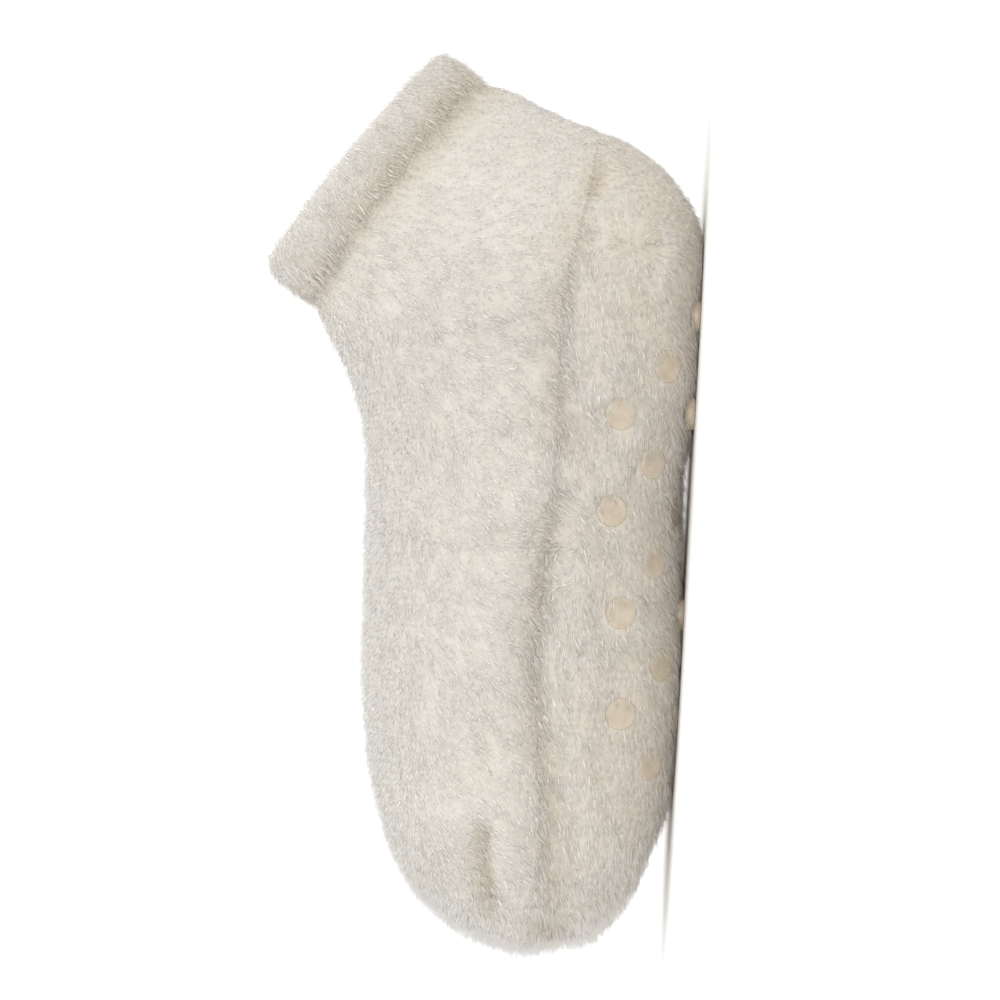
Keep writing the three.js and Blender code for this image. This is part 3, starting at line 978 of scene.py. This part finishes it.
class MaterialTree(NodeTree):
    """A material's nodes under construction."""

    def __init__(self, name: str) -> None:
        """Starts a material with an empty tree."""
        self.material = bpy.data.materials.new(name)
        self.material.use_nodes = True
        self.tree = self.material.node_tree
        self.tree.nodes.clear()
        self.place = self.node("ShaderNodeTexCoord").outputs["Object"]

    def noise(self, size: float, detail: float, place=None) -> bpy.types.NodeSocket:
        """Adds noise whose swells are about the given width, and returns its value."""
        place = self.place if place is None else place
        inputs = {"Vector": place, "Scale": 1 / size, "Detail": detail}
        return self.node("ShaderNodeTexNoise", inputs).outputs["Fac"]

    def stretched(
        self, value: bpy.types.NodeSocket, low: float, high: float, to: tuple[float, float]
    ) -> bpy.types.NodeSocket:
        """Maps a range of a value onto another one."""
        made = self.node("ShaderNodeMapRange", {0: value, 1: low, 2: high, 3: to[0], 4: to[1]})
        return made.outputs[0]

    def mixed(self, share, first, second, blend: str = "MIX") -> bpy.types.NodeSocket:
        """Mixes two colours by a share, each a value or a socket."""
        inputs = {0: share, 6: first, 7: second}
        return self.node("ShaderNodeMix", inputs, data_type="RGBA", blend_type=blend).outputs[2]

    def mottled(self, mottle: Mottle, first, second) -> bpy.types.NodeSocket:
        """Mixes a second colour into the first in clouds."""
        cloud = self.noise(mottle.size, mottle.detail)
        share = self.stretched(cloud, *mottle.band, (0.0, mottle.most))
        return self.mixed(share, first, second)

    def attribute(self, name: str) -> bpy.types.NodeSocket:
        """Reads a number that the mesh carries."""
        return self.node("ShaderNodeAttribute", attribute_name=name).outputs["Fac"]

    def bump(self, strength: float, distance: float, height) -> bpy.types.NodeSocket:
        """Adds a bump and returns its normal."""
        inputs = {"Strength": strength, "Distance": distance, "Height": height}
        return self.node("ShaderNodeBump", inputs).outputs[0]

    def close(self, skin: dict) -> bpy.types.Material:
        """Gives the material a skin with these inputs and returns it."""
        shader = self.node("ShaderNodeBsdfPrincipled", skin).outputs[0]
        self.node("ShaderNodeOutputMaterial", {"Surface": shader})
        return self.material


def colour(red: int, green: int, blue: int) -> Colour:
    """Turns screen values from 0 to 255 into linear light."""
    shares = [channel / 255 for channel in (red, green, blue)]
    linear = [s / 12.92 if s <= 0.04045 else ((s + 0.055) / 1.055) ** 2.4 for s in shares]
    return (*linear, 1.0)


@dataclass(frozen=True)
class PlushTones:
    """Colours of the plush: cream above; warmer and deeper towards the floor as painted shade."""

    high: Colour = colour(250, 247, 243)
    low: Colour = colour(251, 245, 236)
    pale: Colour = colour(252, 251, 249)
    warm: Colour = colour(249, 243, 236)
    low_end: float = 2 * MM
    high_end: float = 62 * MM
    wave_size: float = 24 * MM
    wave_height: float = 14 * MM
    warm_spots: Mottle = Mottle(11 * MM, (0.45, 0.72), 0.45)
    pale_spots: Mottle = Mottle(7 * MM, (0.5, 0.75), 0.6, detail=4.0)
    # Painted shade: the colour that the troughs and the valley under the hem darken to, and its
    # largest share.
    painted_trough_shade: Colour = colour(236, 223, 203)
    painted_shade_share: float = 0.8

    def base(self, tree: MaterialTree) -> bpy.types.NodeSocket:
        """Adds the colour that both the ground and the pile start from."""
        height = tree.node("ShaderNodeSeparateXYZ", {0: tree.place}).outputs[2]
        waves = tree.noise(self.wave_size, 3.0)
        wander = tree.stretched(waves, 0.3, 0.7, (-self.wave_height, self.wave_height))
        level = tree.math("ADD", height, wander)
        # Painted warm shade: the colour turns to the low one towards the floor.
        share = tree.stretched(level, self.low_end, self.high_end, (0.0, 1.0))
        tone = tree.mixed(share, self.low, self.high)
        tone = tree.mottled(self.warm_spots, tone, self.warm)
        tone = tree.mottled(self.pale_spots, tone, self.pale)
        # Painted shade in the troughs and under the hem, read from the shade attribute.
        shaded = tree.stretched(tree.attribute("shade"), 0.0, 1.0, (0.0, self.painted_shade_share))
        return tree.mixed(shaded, tone, self.painted_trough_shade)


# Painted shade: the ground is darker than the pile and stands in for the shade deep in the pile.
PAINTED_SHADE_ROOT_TONES = PlushTones(
    high=colour(210, 206, 197),
    low=colour(214, 206, 194),
    pale=colour(217, 215, 210),
    warm=colour(208, 202, 192),
    painted_trough_shade=colour(196, 184, 164),
)

# Painted shade: the sole's pile is a little darker and warmer than the upper's, for the shade on
# the underside.
SOLE_PAINTED_SHADE_TONES = PlushTones(
    high=colour(249, 246, 242),
    low=colour(249, 243, 235),
    pale=colour(252, 251, 249),
    warm=colour(247, 242, 235),
)

# Painted shade: the sole's ground, darker and warmer still, for the shade deep in the pile and
# under the foot.
SOLE_PAINTED_SHADE_ROOT_TONES = PlushTones(
    high=colour(208, 203, 194),
    low=colour(208, 199, 185),
    pale=colour(216, 213, 207),
    warm=colour(206, 199, 188),
    painted_trough_shade=colour(196, 184, 164),
)

HEM_TONES = PlushTones(
    high=colour(248, 245, 240),
    low=colour(246, 239, 229),
    pale=colour(251, 249, 245),
    warm=colour(245, 238, 227),
)

# Painted shade: the hem's ground, darker than its pile, with the deepest trough colour under the
# hem.
HEM_PAINTED_SHADE_ROOT_TONES = PlushTones(
    high=colour(209, 206, 199),
    low=colour(211, 203, 190),
    pale=colour(215, 212, 206),
    warm=colour(203, 196, 183),
    painted_trough_shade=colour(184, 171, 151),
)


@dataclass(frozen=True)
class PileFinish:
    """Soft polyester pile that takes the light as one skin."""

    name: str
    tones: PlushTones = PlushTones()
    pale_tips: float = 0.25
    tone_spread: float = 0.03
    roughness: float = 0.8
    gloss: float = 0.08
    sheen: float = 0.35
    sheen_roughness: float = 0.6

    def material(self) -> bpy.types.Material:
        """Builds the material."""
        tree = MaterialTree(self.name)
        base = self.tones.base(tree)
        along = tree.stretched(tree.attribute("tip"), 0.0, 1.0, (0.0, self.pale_tips))
        strand = tree.mixed(along, base, self.tones.pale)
        tone = tree.stretched(tree.attribute("tone"), 0.0, 1.0, (1.0 - self.tone_spread, 1.0))
        grey = tree.node("ShaderNodeCombineColor", {0: tone, 1: tone, 2: tone})
        return tree.close({
            "Base Color": tree.mixed(1.0, strand, grey.outputs[0], "MULTIPLY"),
            "Roughness": self.roughness,
            "Specular IOR Level": self.gloss,
            "Sheen Weight": self.sheen,
            "Sheen Roughness": self.sheen_roughness,
        })


@dataclass(frozen=True)
class GroundFinish:
    """The dense root of the pile on its knitted ground, darker than the pile: painted shade."""

    name: str
    tones: PlushTones = PAINTED_SHADE_ROOT_TONES
    grain: float = 0.5 * MM
    bump: float = 0.25 * MM
    streak: float = 5.0
    comb: float = 0.7
    grain_band: Band = (0.4, 0.7)
    grain_share: float = 0.25
    relief: float = 0.6
    roughness: float = 0.95
    gloss: float = 0.08

    def material(self) -> bpy.types.Material:
        """Builds the material."""
        tree = MaterialTree(self.name)
        turn, stretch = (0.0, self.comb, 0.0), (1 / self.streak, 1.0, 1.0)
        combed = tree.node(
            "ShaderNodeMapping", {"Vector": tree.place, "Rotation": turn, "Scale": stretch}
        ).outputs[0]
        fine = tree.noise(self.grain, 3.0, combed)
        deep = tree.stretched(fine, *self.grain_band, (self.grain_share, 0.0))
        return tree.close({
            "Base Color": tree.mixed(deep, self.tones.base(tree), self.tones.warm),
            "Roughness": self.roughness,
            "Specular IOR Level": self.gloss,
            "Normal": tree.bump(self.relief, self.bump, fine),
        })


@dataclass(frozen=True)
class LiningFinish:
    """The knitted inside of the sock, with its small loops."""

    name: str
    light: Colour = colour(240, 234, 221)
    shade: Colour = colour(226, 217, 202)
    loop: float = 1.3 * MM
    fuzz: float = 0.7 * MM
    fuzz_share: float = 0.5
    loop_band: Band = (0.2, 0.9)
    relief: float = 0.6
    bump: float = 0.5 * MM
    roughness: float = 0.95
    sheen: float = 0.3

    def material(self) -> bpy.types.Material:
        """Builds the material."""
        tree = MaterialTree(self.name)
        cells = tree.node("ShaderNodeTexVoronoi", {"Vector": tree.place, "Scale": 1 / self.loop})
        fuzz = tree.noise(self.fuzz, 3.0)
        height = tree.math("MULTIPLY_ADD", cells.outputs["Distance"], fuzz, self.fuzz_share)
        raised = tree.stretched(height, *self.loop_band, (0.0, 1.0))
        return tree.close({
            "Base Color": tree.mixed(raised, self.shade, self.light),
            "Roughness": self.roughness,
            "Sheen Weight": self.sheen,
            "Normal": tree.bump(self.relief, self.bump, height),
        })


@dataclass(frozen=True)
class SiliconeFinish:
    """Milky moulded silicone with a soft gloss and a little dust in it."""

    name: str
    clear: Colour = colour(188, 175, 155)
    milky: Colour = colour(202, 191, 173)
    roughness: Band = (0.16, 0.32)
    cloud_size: float = 3.5 * MM
    cloud_band: Band = (0.35, 0.65)
    speck_size: float = 1.1 * MM
    speck_band: Band = (0.3, 0.7)
    relief: float = 0.12
    bump: float = 0.2 * MM
    depth: float = 1.5 * MM
    milkiness: float = 0.45
    coat: float = 0.6
    coat_roughness: float = 0.12

    def material(self) -> bpy.types.Material:
        """Builds the material."""
        tree = MaterialTree(self.name)
        cloud = tree.noise(self.cloud_size, 3.0)
        milk = tree.stretched(cloud, *self.cloud_band, (0.0, 1.0))
        specks = tree.noise(self.speck_size, 2.0)
        return tree.close({
            "Base Color": tree.mixed(milk, self.clear, self.milky),
            "Roughness": tree.stretched(specks, *self.speck_band, self.roughness),
            "Subsurface Weight": self.milkiness,
            "Subsurface Scale": self.depth,
            "Coat Weight": self.coat,
            "Coat Roughness": self.coat_roughness,
            "Normal": tree.bump(self.relief, self.bump, cloud),
        })


@dataclass(frozen=True)
class FloorFinish:
    """The plain pale floor."""

    name: str = "pale_floor"
    shade: Colour = colour(251, 251, 251)
    tone: Colour = colour(254, 254, 253)
    clouds: Mottle = Mottle(0.4, (0.3, 0.7), 0.2, detail=1.0)
    roughness: float = 0.9
    gloss: float = 0.1

    def material(self) -> bpy.types.Material:
        """Builds the material."""
        tree = MaterialTree(self.name)
        return tree.close({
            "Base Color": tree.mottled(self.clouds, self.tone, self.shade),
            "Roughness": self.roughness,
            "Specular IOR Level": self.gloss,
        })


@dataclass
class Pile:
    """Grows the pile on patches of the sock."""

    form: SockForm
    groom: Groom
    dot_centres: bpy.types.Object
    tree: bpy.types.NodeTree
    bare_radius: float = 4.6 * MM
    length_spread: float = 0.26
    stray: float = 0.2
    floor: float = 0.15 * MM

    def grow(
        self,
        name: str,
        patch: tuple[np.ndarray, np.ndarray, np.ndarray],
        region: Region,
        tufts: bpy.types.Collection,
        spacing: float,
        material: bpy.types.Material,
        seed: int,
    ) -> bpy.types.Object:
        """Grows one patch.

        Args:
            name: The new piece's name.
            patch: Stations and angles on a grid, and the ground's points there.
            region: Which part of the sock it is.
            tufts: The tufts that it is grown from.
            spacing: Least distance between two tufts.
            material: The pile's material.
            seed: Seed of the scatter.

        Returns:
            The pile as a plain mesh.
        """
        u, angle, points = patch
        rows, columns = u.shape
        sheet = mesh_object(f"{name}_patch", points.reshape(-1, 3), grid_faces(rows, columns))
        groom = self.groom.directions(u, angle, region)
        # Painted shade in the pile's troughs and under the hem.
        groom["shade"] = self.form.shade(u, angle)
        attach(sheet, {key: listed(data) for key, data in groom.items()})
        values = {
            "Tufts": tufts,
            "Dot Centres": self.dot_centres,
            "Spacing": spacing,
            "Bare Radius": self.bare_radius,
            "Length Spread": self.length_spread,
            "Stray": self.stray,
            "Floor": self.floor,
            "Seed": seed,
            "Material": material,
        }
        made = grown(sheet, self.tree, values, name)
        made.data.shade_smooth()
        return made


def hand_over(piece: bpy.types.Object) -> None:
    """Fastens a finished piece to the body and reports it."""
    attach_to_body(piece, BODY)
    piece.data.calc_loop_triangles()
    log.info("%s: %d triangles", piece.name, len(piece.data.loop_triangles))


@dataclass
class Panel:
    """A panel of plush: a thin shell of ground with pile on it."""

    form: SockForm
    region: Region
    columns: int
    least_columns: int = 8
    spacing: float = 2.4 * MM
    overlap: float = 0.012

    def edges(self, u: np.ndarray) -> Grid:
        """Returns the angles between which the panel lies at each station."""
        seam = self.form.seam_angle(u)
        if self.region is Region.SOLE:
            return -seam, seam
        return seam, FULL_TURN - seam

    def grid(self, stations: np.ndarray, start: float = 0.0, end: float = 1.0) -> Grid:
        """Lays a grid over the panel, or over a share of its width."""
        first, last = self.edges(stations)
        count = max(self.least_columns, round(self.columns * (end - start)))
        shares = np.linspace(start, end, count + 1)
        angle = first[:, None] + (last - first)[:, None] * shares[None, :]
        return np.broadcast_to(stations[:, None], angle.shape), angle

    def shell(
        self,
        name: str,
        stations: np.ndarray,
        ground: bpy.types.Material,
        lining: bpy.types.Material,
    ) -> bpy.types.Object:
        """Builds the ground of the panel as a closed shell with a wall.

        Args:
            name: The piece's name.
            stations: Stations of its rows.
            ground: Material of the outside.
            lining: Material of the inside.

        Returns:
            The shell.
        """
        u, angle = self.grid(stations)
        outer = self.form.surface(u, angle, self.form.matted)
        inner = self.form.surface(u, angle, self.form.pile + self.form.wall)
        rows, columns = u.shape
        faces = grid_faces(rows, columns)
        outside = len(faces)
        below = rows * columns
        faces += [tuple(corner + below for corner in reversed(face)) for face in faces]
        rim = [*range(columns)]
        rim += [row * columns + columns - 1 for row in range(1, rows)]
        rim += [(rows - 1) * columns + column for column in reversed(range(columns - 1))]
        rim += [row * columns for row in reversed(range(1, rows - 1))]
        for here, beside in zip(rim, rim[1:] + rim[:1]):
            faces.append((beside, here, here + below, beside + below))
        sheet = mesh_object(name, np.vstack([outer.reshape(-1, 3), inner.reshape(-1, 3)]), faces)
        sheet.data.materials.append(ground)
        sheet.data.materials.append(lining)
        is_lining = np.arange(len(faces)) >= outside
        sheet.data.polygons.foreach_set("material_index", is_lining.astype(np.int32))
        # Painted shade in the ground's troughs and under the hem.
        attach(sheet, {"shade": np.tile(self.form.shade(u, angle).reshape(-1), 2)})
        merged(sheet)
        return sheet

    def patch(
        self, start: float, end: float, left: float, right: float
    ) -> tuple[np.ndarray, np.ndarray, np.ndarray]:
        """Returns a part's grid, which goes a little over the join, and the ground's points."""
        left = left if left > 0 else -self.overlap
        right = right if right < 1 else 1 + self.overlap
        stations = self.form.even_stations(start, end, self.spacing)
        u, angle = self.grid(stations, left, right)
        return u, angle, self.form.surface(u, angle, self.form.matted)


@dataclass
class UpperPlush:
    """The upper: one hollow of plush from toe to hem.

    The cuts are the stations between its patches of pile, and it is tucked a little under the hem.
    """

    form: SockForm
    pile: Pile
    tuft_spacing: float = 1.55 * MM
    tucked: float = 0.12
    cuts: tuple[float, float, float] = (4.2, 8.3, 12.6)
    first_seed: int = 100
    tufts: TuftSet = field(default_factory=lambda: TuftSet("upper_tufts"))
    finish: PileFinish = PileFinish("upper_pile")
    ground: GroundFinish = GroundFinish("upper_ground")
    lining: LiningFinish = LiningFinish("upper_lining")

    def build(self) -> None:
        """Builds the ground and its pile."""
        panel = Panel(self.form, Region.UPPER, columns=120)
        stations = self.form.even_stations(0.0, self.form.hem_foot + self.tucked, panel.spacing)
        shell = panel.shell(
            "upper_ground", stations, self.ground.material(), self.lining.material()
        )
        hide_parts("upper")
        hand_over(shell)
        material = self.finish.material()
        forefoot, midfoot, heel = self.cuts
        patches = {
            "upper_pile_toe": (0.0, forefoot, 0.0, 1.0),
            "upper_pile_ball_right": (forefoot, midfoot, 0.0, 0.5),
            "upper_pile_ball_left": (forefoot, midfoot, 0.5, 1.0),
            "upper_pile_instep_right": (midfoot, heel, 0.0, 0.5),
            "upper_pile_instep_left": (midfoot, heel, 0.5, 1.0),
            "upper_pile_ankle": (heel, self.form.hem_foot + self.tucked, 0.0, 1.0),
        }
        tufts = self.tufts.collection()
        for number, (name, (start, end, left, right)) in enumerate(patches.items()):
            patch = panel.patch(start, end, left, right)
            scatter = (self.tuft_spacing, material, self.first_seed + number)
            made = self.pile.grow(name, patch, Region.UPPER, tufts, *scatter)
            hand_over(made)
        removed(tufts)


@dataclass
class SolePlush:
    """The sole: the same plush under the foot, closing the upper. Its pile is cut in two."""

    form: SockForm
    pile: Pile
    tuft_spacing: float = 1.85 * MM
    cut: float = 7.2
    first_seed: int = 200
    tufts: TuftSet = field(
        default_factory=lambda: TuftSet(
            "sole_tufts",
            strand_length=4.0 * MM,
            lock_length=3.0 * MM,
            gather=0.6,
            bow=0.8 * MM,
            seed=9,
        )
    )
    finish: PileFinish = PileFinish("sole_pile", SOLE_PAINTED_SHADE_TONES)
    ground: GroundFinish = GroundFinish("sole_ground", SOLE_PAINTED_SHADE_ROOT_TONES)
    lining: LiningFinish = LiningFinish("sole_lining")

    def build(self) -> None:
        """Builds the ground and its pile."""
        panel = Panel(self.form, Region.SOLE, columns=70)
        stations = self.form.even_stations(0.0, self.form.seam_end, panel.spacing)
        shell = panel.shell(
            "sole_ground", stations, self.ground.material(), self.lining.material()
        )
        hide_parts("sole")
        hand_over(shell)
        material = self.finish.material()
        patches = {
            "sole_pile_front": (0.0, self.cut),
            "sole_pile_back": (self.cut, self.form.seam_end),
        }
        tufts = self.tufts.collection()
        for number, (name, (start, end)) in enumerate(patches.items()):
            patch = panel.patch(start, end, 0.0, 1.0)
            scatter = (self.tuft_spacing, material, self.first_seed + number)
            made = self.pile.grow(name, patch, Region.SOLE, tufts, *scatter)
            hand_over(made)
        removed(tufts)


@dataclass
class CollarHem:
    """The puffed hem that is turned over at the collar, with pile on a share of its section."""

    form: SockForm
    pile: Pile
    wall: float = 6 * MM
    swell: float = 1.6 * MM
    edge: float = 2.4 * MM
    under_pile: float = 1.2 * MM
    lift: float = 0.03
    around: int = 150
    profile_steps: int = 40
    puffs: Drift = Drift(16 * MM, 6.2, 0.7)
    furred: float = 0.78
    tuft_spacing: float = 1.65 * MM
    first_seed: int = 300
    tufts: TuftSet = field(default_factory=lambda: TuftSet("hem_tufts", seed=13))
    finish: PileFinish = PileFinish("hem_pile", HEM_TONES)
    ground: GroundFinish = GroundFinish("hem_ground", HEM_PAINTED_SHADE_ROOT_TONES)

    def profile(self) -> np.ndarray:
        """Returns the section of the hem as pairs of height share and depth, in order round it."""
        pile = self.form.matted + self.under_pile
        inner = self.form.pile + self.wall
        knots = np.array([
            (0.0, pile + 0.3 * self.swell),
            (0.14, pile - 0.3 * self.swell),
            (0.42, pile - self.swell),
            (0.7, pile - self.swell),
            (0.92, pile - 0.2 * self.swell),
            (1.0, pile + self.edge),
            (0.96, inner - 0.5 * self.edge),
            (0.7, inner + 0.2 * self.swell),
            (0.3, inner),
            (0.0, self.form.pile + self.form.wall + self.form.gap),
        ])
        steps = np.linspace(0, len(knots), self.profile_steps, endpoint=False)
        index = np.floor(steps).astype(int)
        t = (steps - index)[:, None]
        return through(*(knots[(index + move) % len(knots)] for move in (-1, 0, 1, 2)), t)

    def rows(self) -> tuple[np.ndarray, np.ndarray, np.ndarray]:
        """Returns stations, angles and points of the hem, a row for each point of its section."""
        heights, depths = self.profile().T
        low = self.form.hem_foot + self.lift
        turns = np.linspace(0, FULL_TURN, self.around, endpoint=False)
        u = np.clip(low + (self.form.collar_edge - low) * heights, 0, self.form.collar_edge)
        stations = np.broadcast_to(u[:, None], (len(u), len(turns)))
        angles = np.broadcast_to(turns[None, :], stations.shape)
        outward = self.form.directions(stations, angles)[2]
        points = self.form.envelope(stations, angles)
        puff = self.puffs.at(points)[..., 0] * MM
        points = points - outward * (depths[:, None] - puff)[..., None]
        return stations, angles, points + [self.form.toe_x, 0, 0]

    def build(self) -> None:
        """Builds the ring and its pile."""
        stations, angles, points = self.rows()
        count, around = stations.shape
        faces = []
        for row in range(count):
            for column in range(around):
                here, below = row * around, (row + 1) % count * around
                beside = (column + 1) % around
                faces.append((here + column, here + beside, below + beside, below + column))
        ring = mesh_object("hem_ground", points.reshape(-1, 3), faces)
        ring.data.materials.append(self.ground.material())
        # Painted shade in the hem's valley, most at the back.
        attach(ring, {"shade": self.form.shade(stations, angles).reshape(-1)})
        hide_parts("cuff")
        hand_over(ring)
        furred = math.ceil(count * self.furred)
        seamed = [*range(around), 0]
        patch = tuple(values[:furred][:, seamed] for values in (stations, angles, points))
        tufts = self.tufts.collection()
        scatter = (self.tuft_spacing, self.finish.material(), self.first_seed)
        made = self.pile.grow("hem_pile", patch, Region.HEM, tufts, *scatter)
        hand_over(made)
        removed(tufts)


@dataclass
class GripDots:
    """The silicone grips: flat moulded discs with rounded rims.

    Their faces are dished: a ring at the first share of the flat's radius lies at the second
    share of the dish's depth.
    """

    radius: float = 4.9 * MM
    rim: float = 0.9 * MM
    dish: float = 0.22 * MM
    depth: float = 2.9 * MM
    sides: int = 32
    rim_steps: int = 5
    dished: Band = (0.75, 0.9)
    finish: SiliconeFinish = SiliconeFinish("grip_silicone")
    places: list[tuple[Vector, Vector]] = field(init=False)

    def __post_init__(self) -> None:
        """Reads where the solid dots stand and which way their faces look."""
        self.places = [self.face_of(frame["nodes"][name]) for name in DOT_NAMES]

    def face_of(self, dot: bpy.types.Object) -> tuple[Vector, Vector]:
        """Finds the middle and direction of a solid dot's flat face."""
        flats: dict[tuple, list] = {}
        for polygon in dot.data.polygons:
            facing = tuple(round(part, 2) for part in polygon.normal)
            flats.setdefault(facing, []).append(polygon)
        widest = max(flats, key=lambda facing: sum(p.area for p in flats[facing]))
        total = sum(p.area for p in flats[widest])
        middle = sum((p.center * p.area for p in flats[widest]), Vector()) / total
        return middle, Vector(widest).normalized()

    def disc(self) -> bpy.types.Object:
        """Turns the section of a disc about its axis, with its face at height 0."""
        flat = self.radius - self.rim
        out, down = self.dished
        profile = [(0.0, -self.dish), (out * flat, -down * self.dish)]
        for step in range(self.rim_steps + 1):
            turn = math.pi / 2 * step / self.rim_steps
            profile.append((flat + self.rim * math.sin(turn), self.rim * (math.cos(turn) - 1)))
        profile.append((self.radius, -self.depth))
        points = [(0, 0, profile[0][1])]
        for reach, height in profile[1:]:
            for side in range(self.sides):
                turn = FULL_TURN * side / self.sides
                points.append((reach * math.cos(turn), reach * math.sin(turn), height))
        points.append((0, 0, -self.depth))
        faces = []
        for side in range(self.sides):
            beside = (side + 1) % self.sides
            faces.append((0, 1 + side, 1 + beside))
            for ring in range(len(profile) - 2):
                here, below = 1 + ring * self.sides, 1 + (ring + 1) * self.sides
                faces.append((here + side, below + side, below + beside, here + beside))
            start = 1 + (len(profile) - 2) * self.sides
            faces.append((start + side, len(points) - 1, start + beside))
        return mesh_object("grip_disc", np.array(points), faces)

    def centres(self) -> bpy.types.Object:
        """Makes a mesh of the dots' middles, which keeps the pile clear of them."""
        return mesh_object("grip_centres", np.array([middle for middle, _ in self.places]), [])

    def build(self) -> None:
        """Sets a disc on each place and joins them."""
        disc = self.disc()
        seats = self.centres()
        attach(seats, {"facing": np.array([facing for _, facing in self.places])})
        material = self.finish.material()
        made = grown(seats, stamp_tree(), {"Disc": disc, "Material": material}, "grip_dots")
        made.data.shade_smooth()
        bpy.data.objects.remove(disc)
        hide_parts(*DOT_NAMES)
        hand_over(made)


@dataclass(frozen=True)
class Lamp:
    """A soft square lamp that looks at the sock."""

    name: str
    place: tuple[float, float, float]
    size: float
    energy: float


@dataclass
class Studio:
    """The pale floor, the soft light and the camera."""

    aim: Vector = field(default_factory=lambda: Vector((0.0003, 0.0, 0.0546)))
    toe_down: Vector = field(default_factory=lambda: Vector((0.99839, 0.0, 0.05667)))
    distance: float = 1.6
    view_width: float = 0.29
    sensor: float = 36.0
    clip_end: float = 500.0
    floor_size: float = 400.0
    sky: float = 1.13
    light_steps: int = 24
    lamps: tuple[Lamp, ...] = (
        Lamp("key", (-0.1, -0.15, 1.3), size=1.0, energy=3.0),
        Lamp("fill", (0.0, -1.3, 0.12), size=0.9, energy=3.8),
    )
    finish: FloorFinish = FloorFinish()

    def camera(self) -> None:
        """Sets the camera level at the left flank, rolled so that the toe points down."""
        data = bpy.data.cameras.new("camera")
        data.sensor_width = self.sensor
        data.lens = self.sensor * self.distance / self.view_width
        data.clip_end = self.clip_end
        made = bpy.data.objects.new("camera", data)
        back = Vector((0, -1, 0))
        up = self.toe_down.normalized()
        right = up.cross(back)
        turn = Matrix((right, up, back)).transposed().to_4x4()
        made.matrix_world = Matrix.Translation(self.aim + back * self.distance) @ turn
        bpy.context.scene.collection.objects.link(made)
        bpy.context.scene.camera = made

    def hang(self, lamp: Lamp) -> None:
        """Hangs a lamp and turns it to the sock."""
        data = bpy.data.lights.new(lamp.name, "AREA")
        data.size = lamp.size
        data.energy = lamp.energy
        made = bpy.data.objects.new(lamp.name, data)
        place = Vector(lamp.place)
        turn = (place - self.aim).to_track_quat("Z", "Y").to_matrix().to_4x4()
        made.matrix_world = Matrix.Translation(place) @ turn
        bpy.context.scene.collection.objects.link(made)

    def floor(self) -> None:
        """Lays the floor."""
        half = self.floor_size / 2
        corners = np.array(
            [(-half, -half, 0), (half, -half, 0), (half, half, 0), (-half, half, 0)]
        )
        made = mesh_object("floor", corners, [(0, 1, 2, 3)])
        made.data.materials.append(self.finish.material())

    def build(self) -> None:
        """Builds the studio."""
        world = bpy.data.worlds.new("studio")
        world.use_nodes = True
        background = world.node_tree.nodes["Background"]
        background.inputs["Color"].default_value = (1.0, 1.0, 1.0, 1.0)
        background.inputs["Strength"].default_value = self.sky
        bpy.context.scene.world = world
        bpy.context.scene.view_settings.view_transform = "Standard"
        bpy.context.scene.cycles.diffuse_bounces = self.light_steps
        bpy.context.scene.cycles.max_bounces = self.light_steps
        self.camera()
        self.floor()
        for lamp in self.lamps:
            self.hang(lamp)


def main() -> None:
    """Builds the sock piece by piece, then the studio."""
    noise.seed_set(DRIFT_SEED)
    form = SockForm()
    groom = Groom(form)
    dots = GripDots()
    centres = dots.centres()
    pile = Pile(form, groom, centres, pile_tree())
    UpperPlush(form, pile).build()
    SolePlush(form, pile).build()
    CollarHem(form, pile).build()
    bpy.data.objects.remove(centres)
    dots.build()
    Studio().build()


if __name__ == "__main__":
    main()
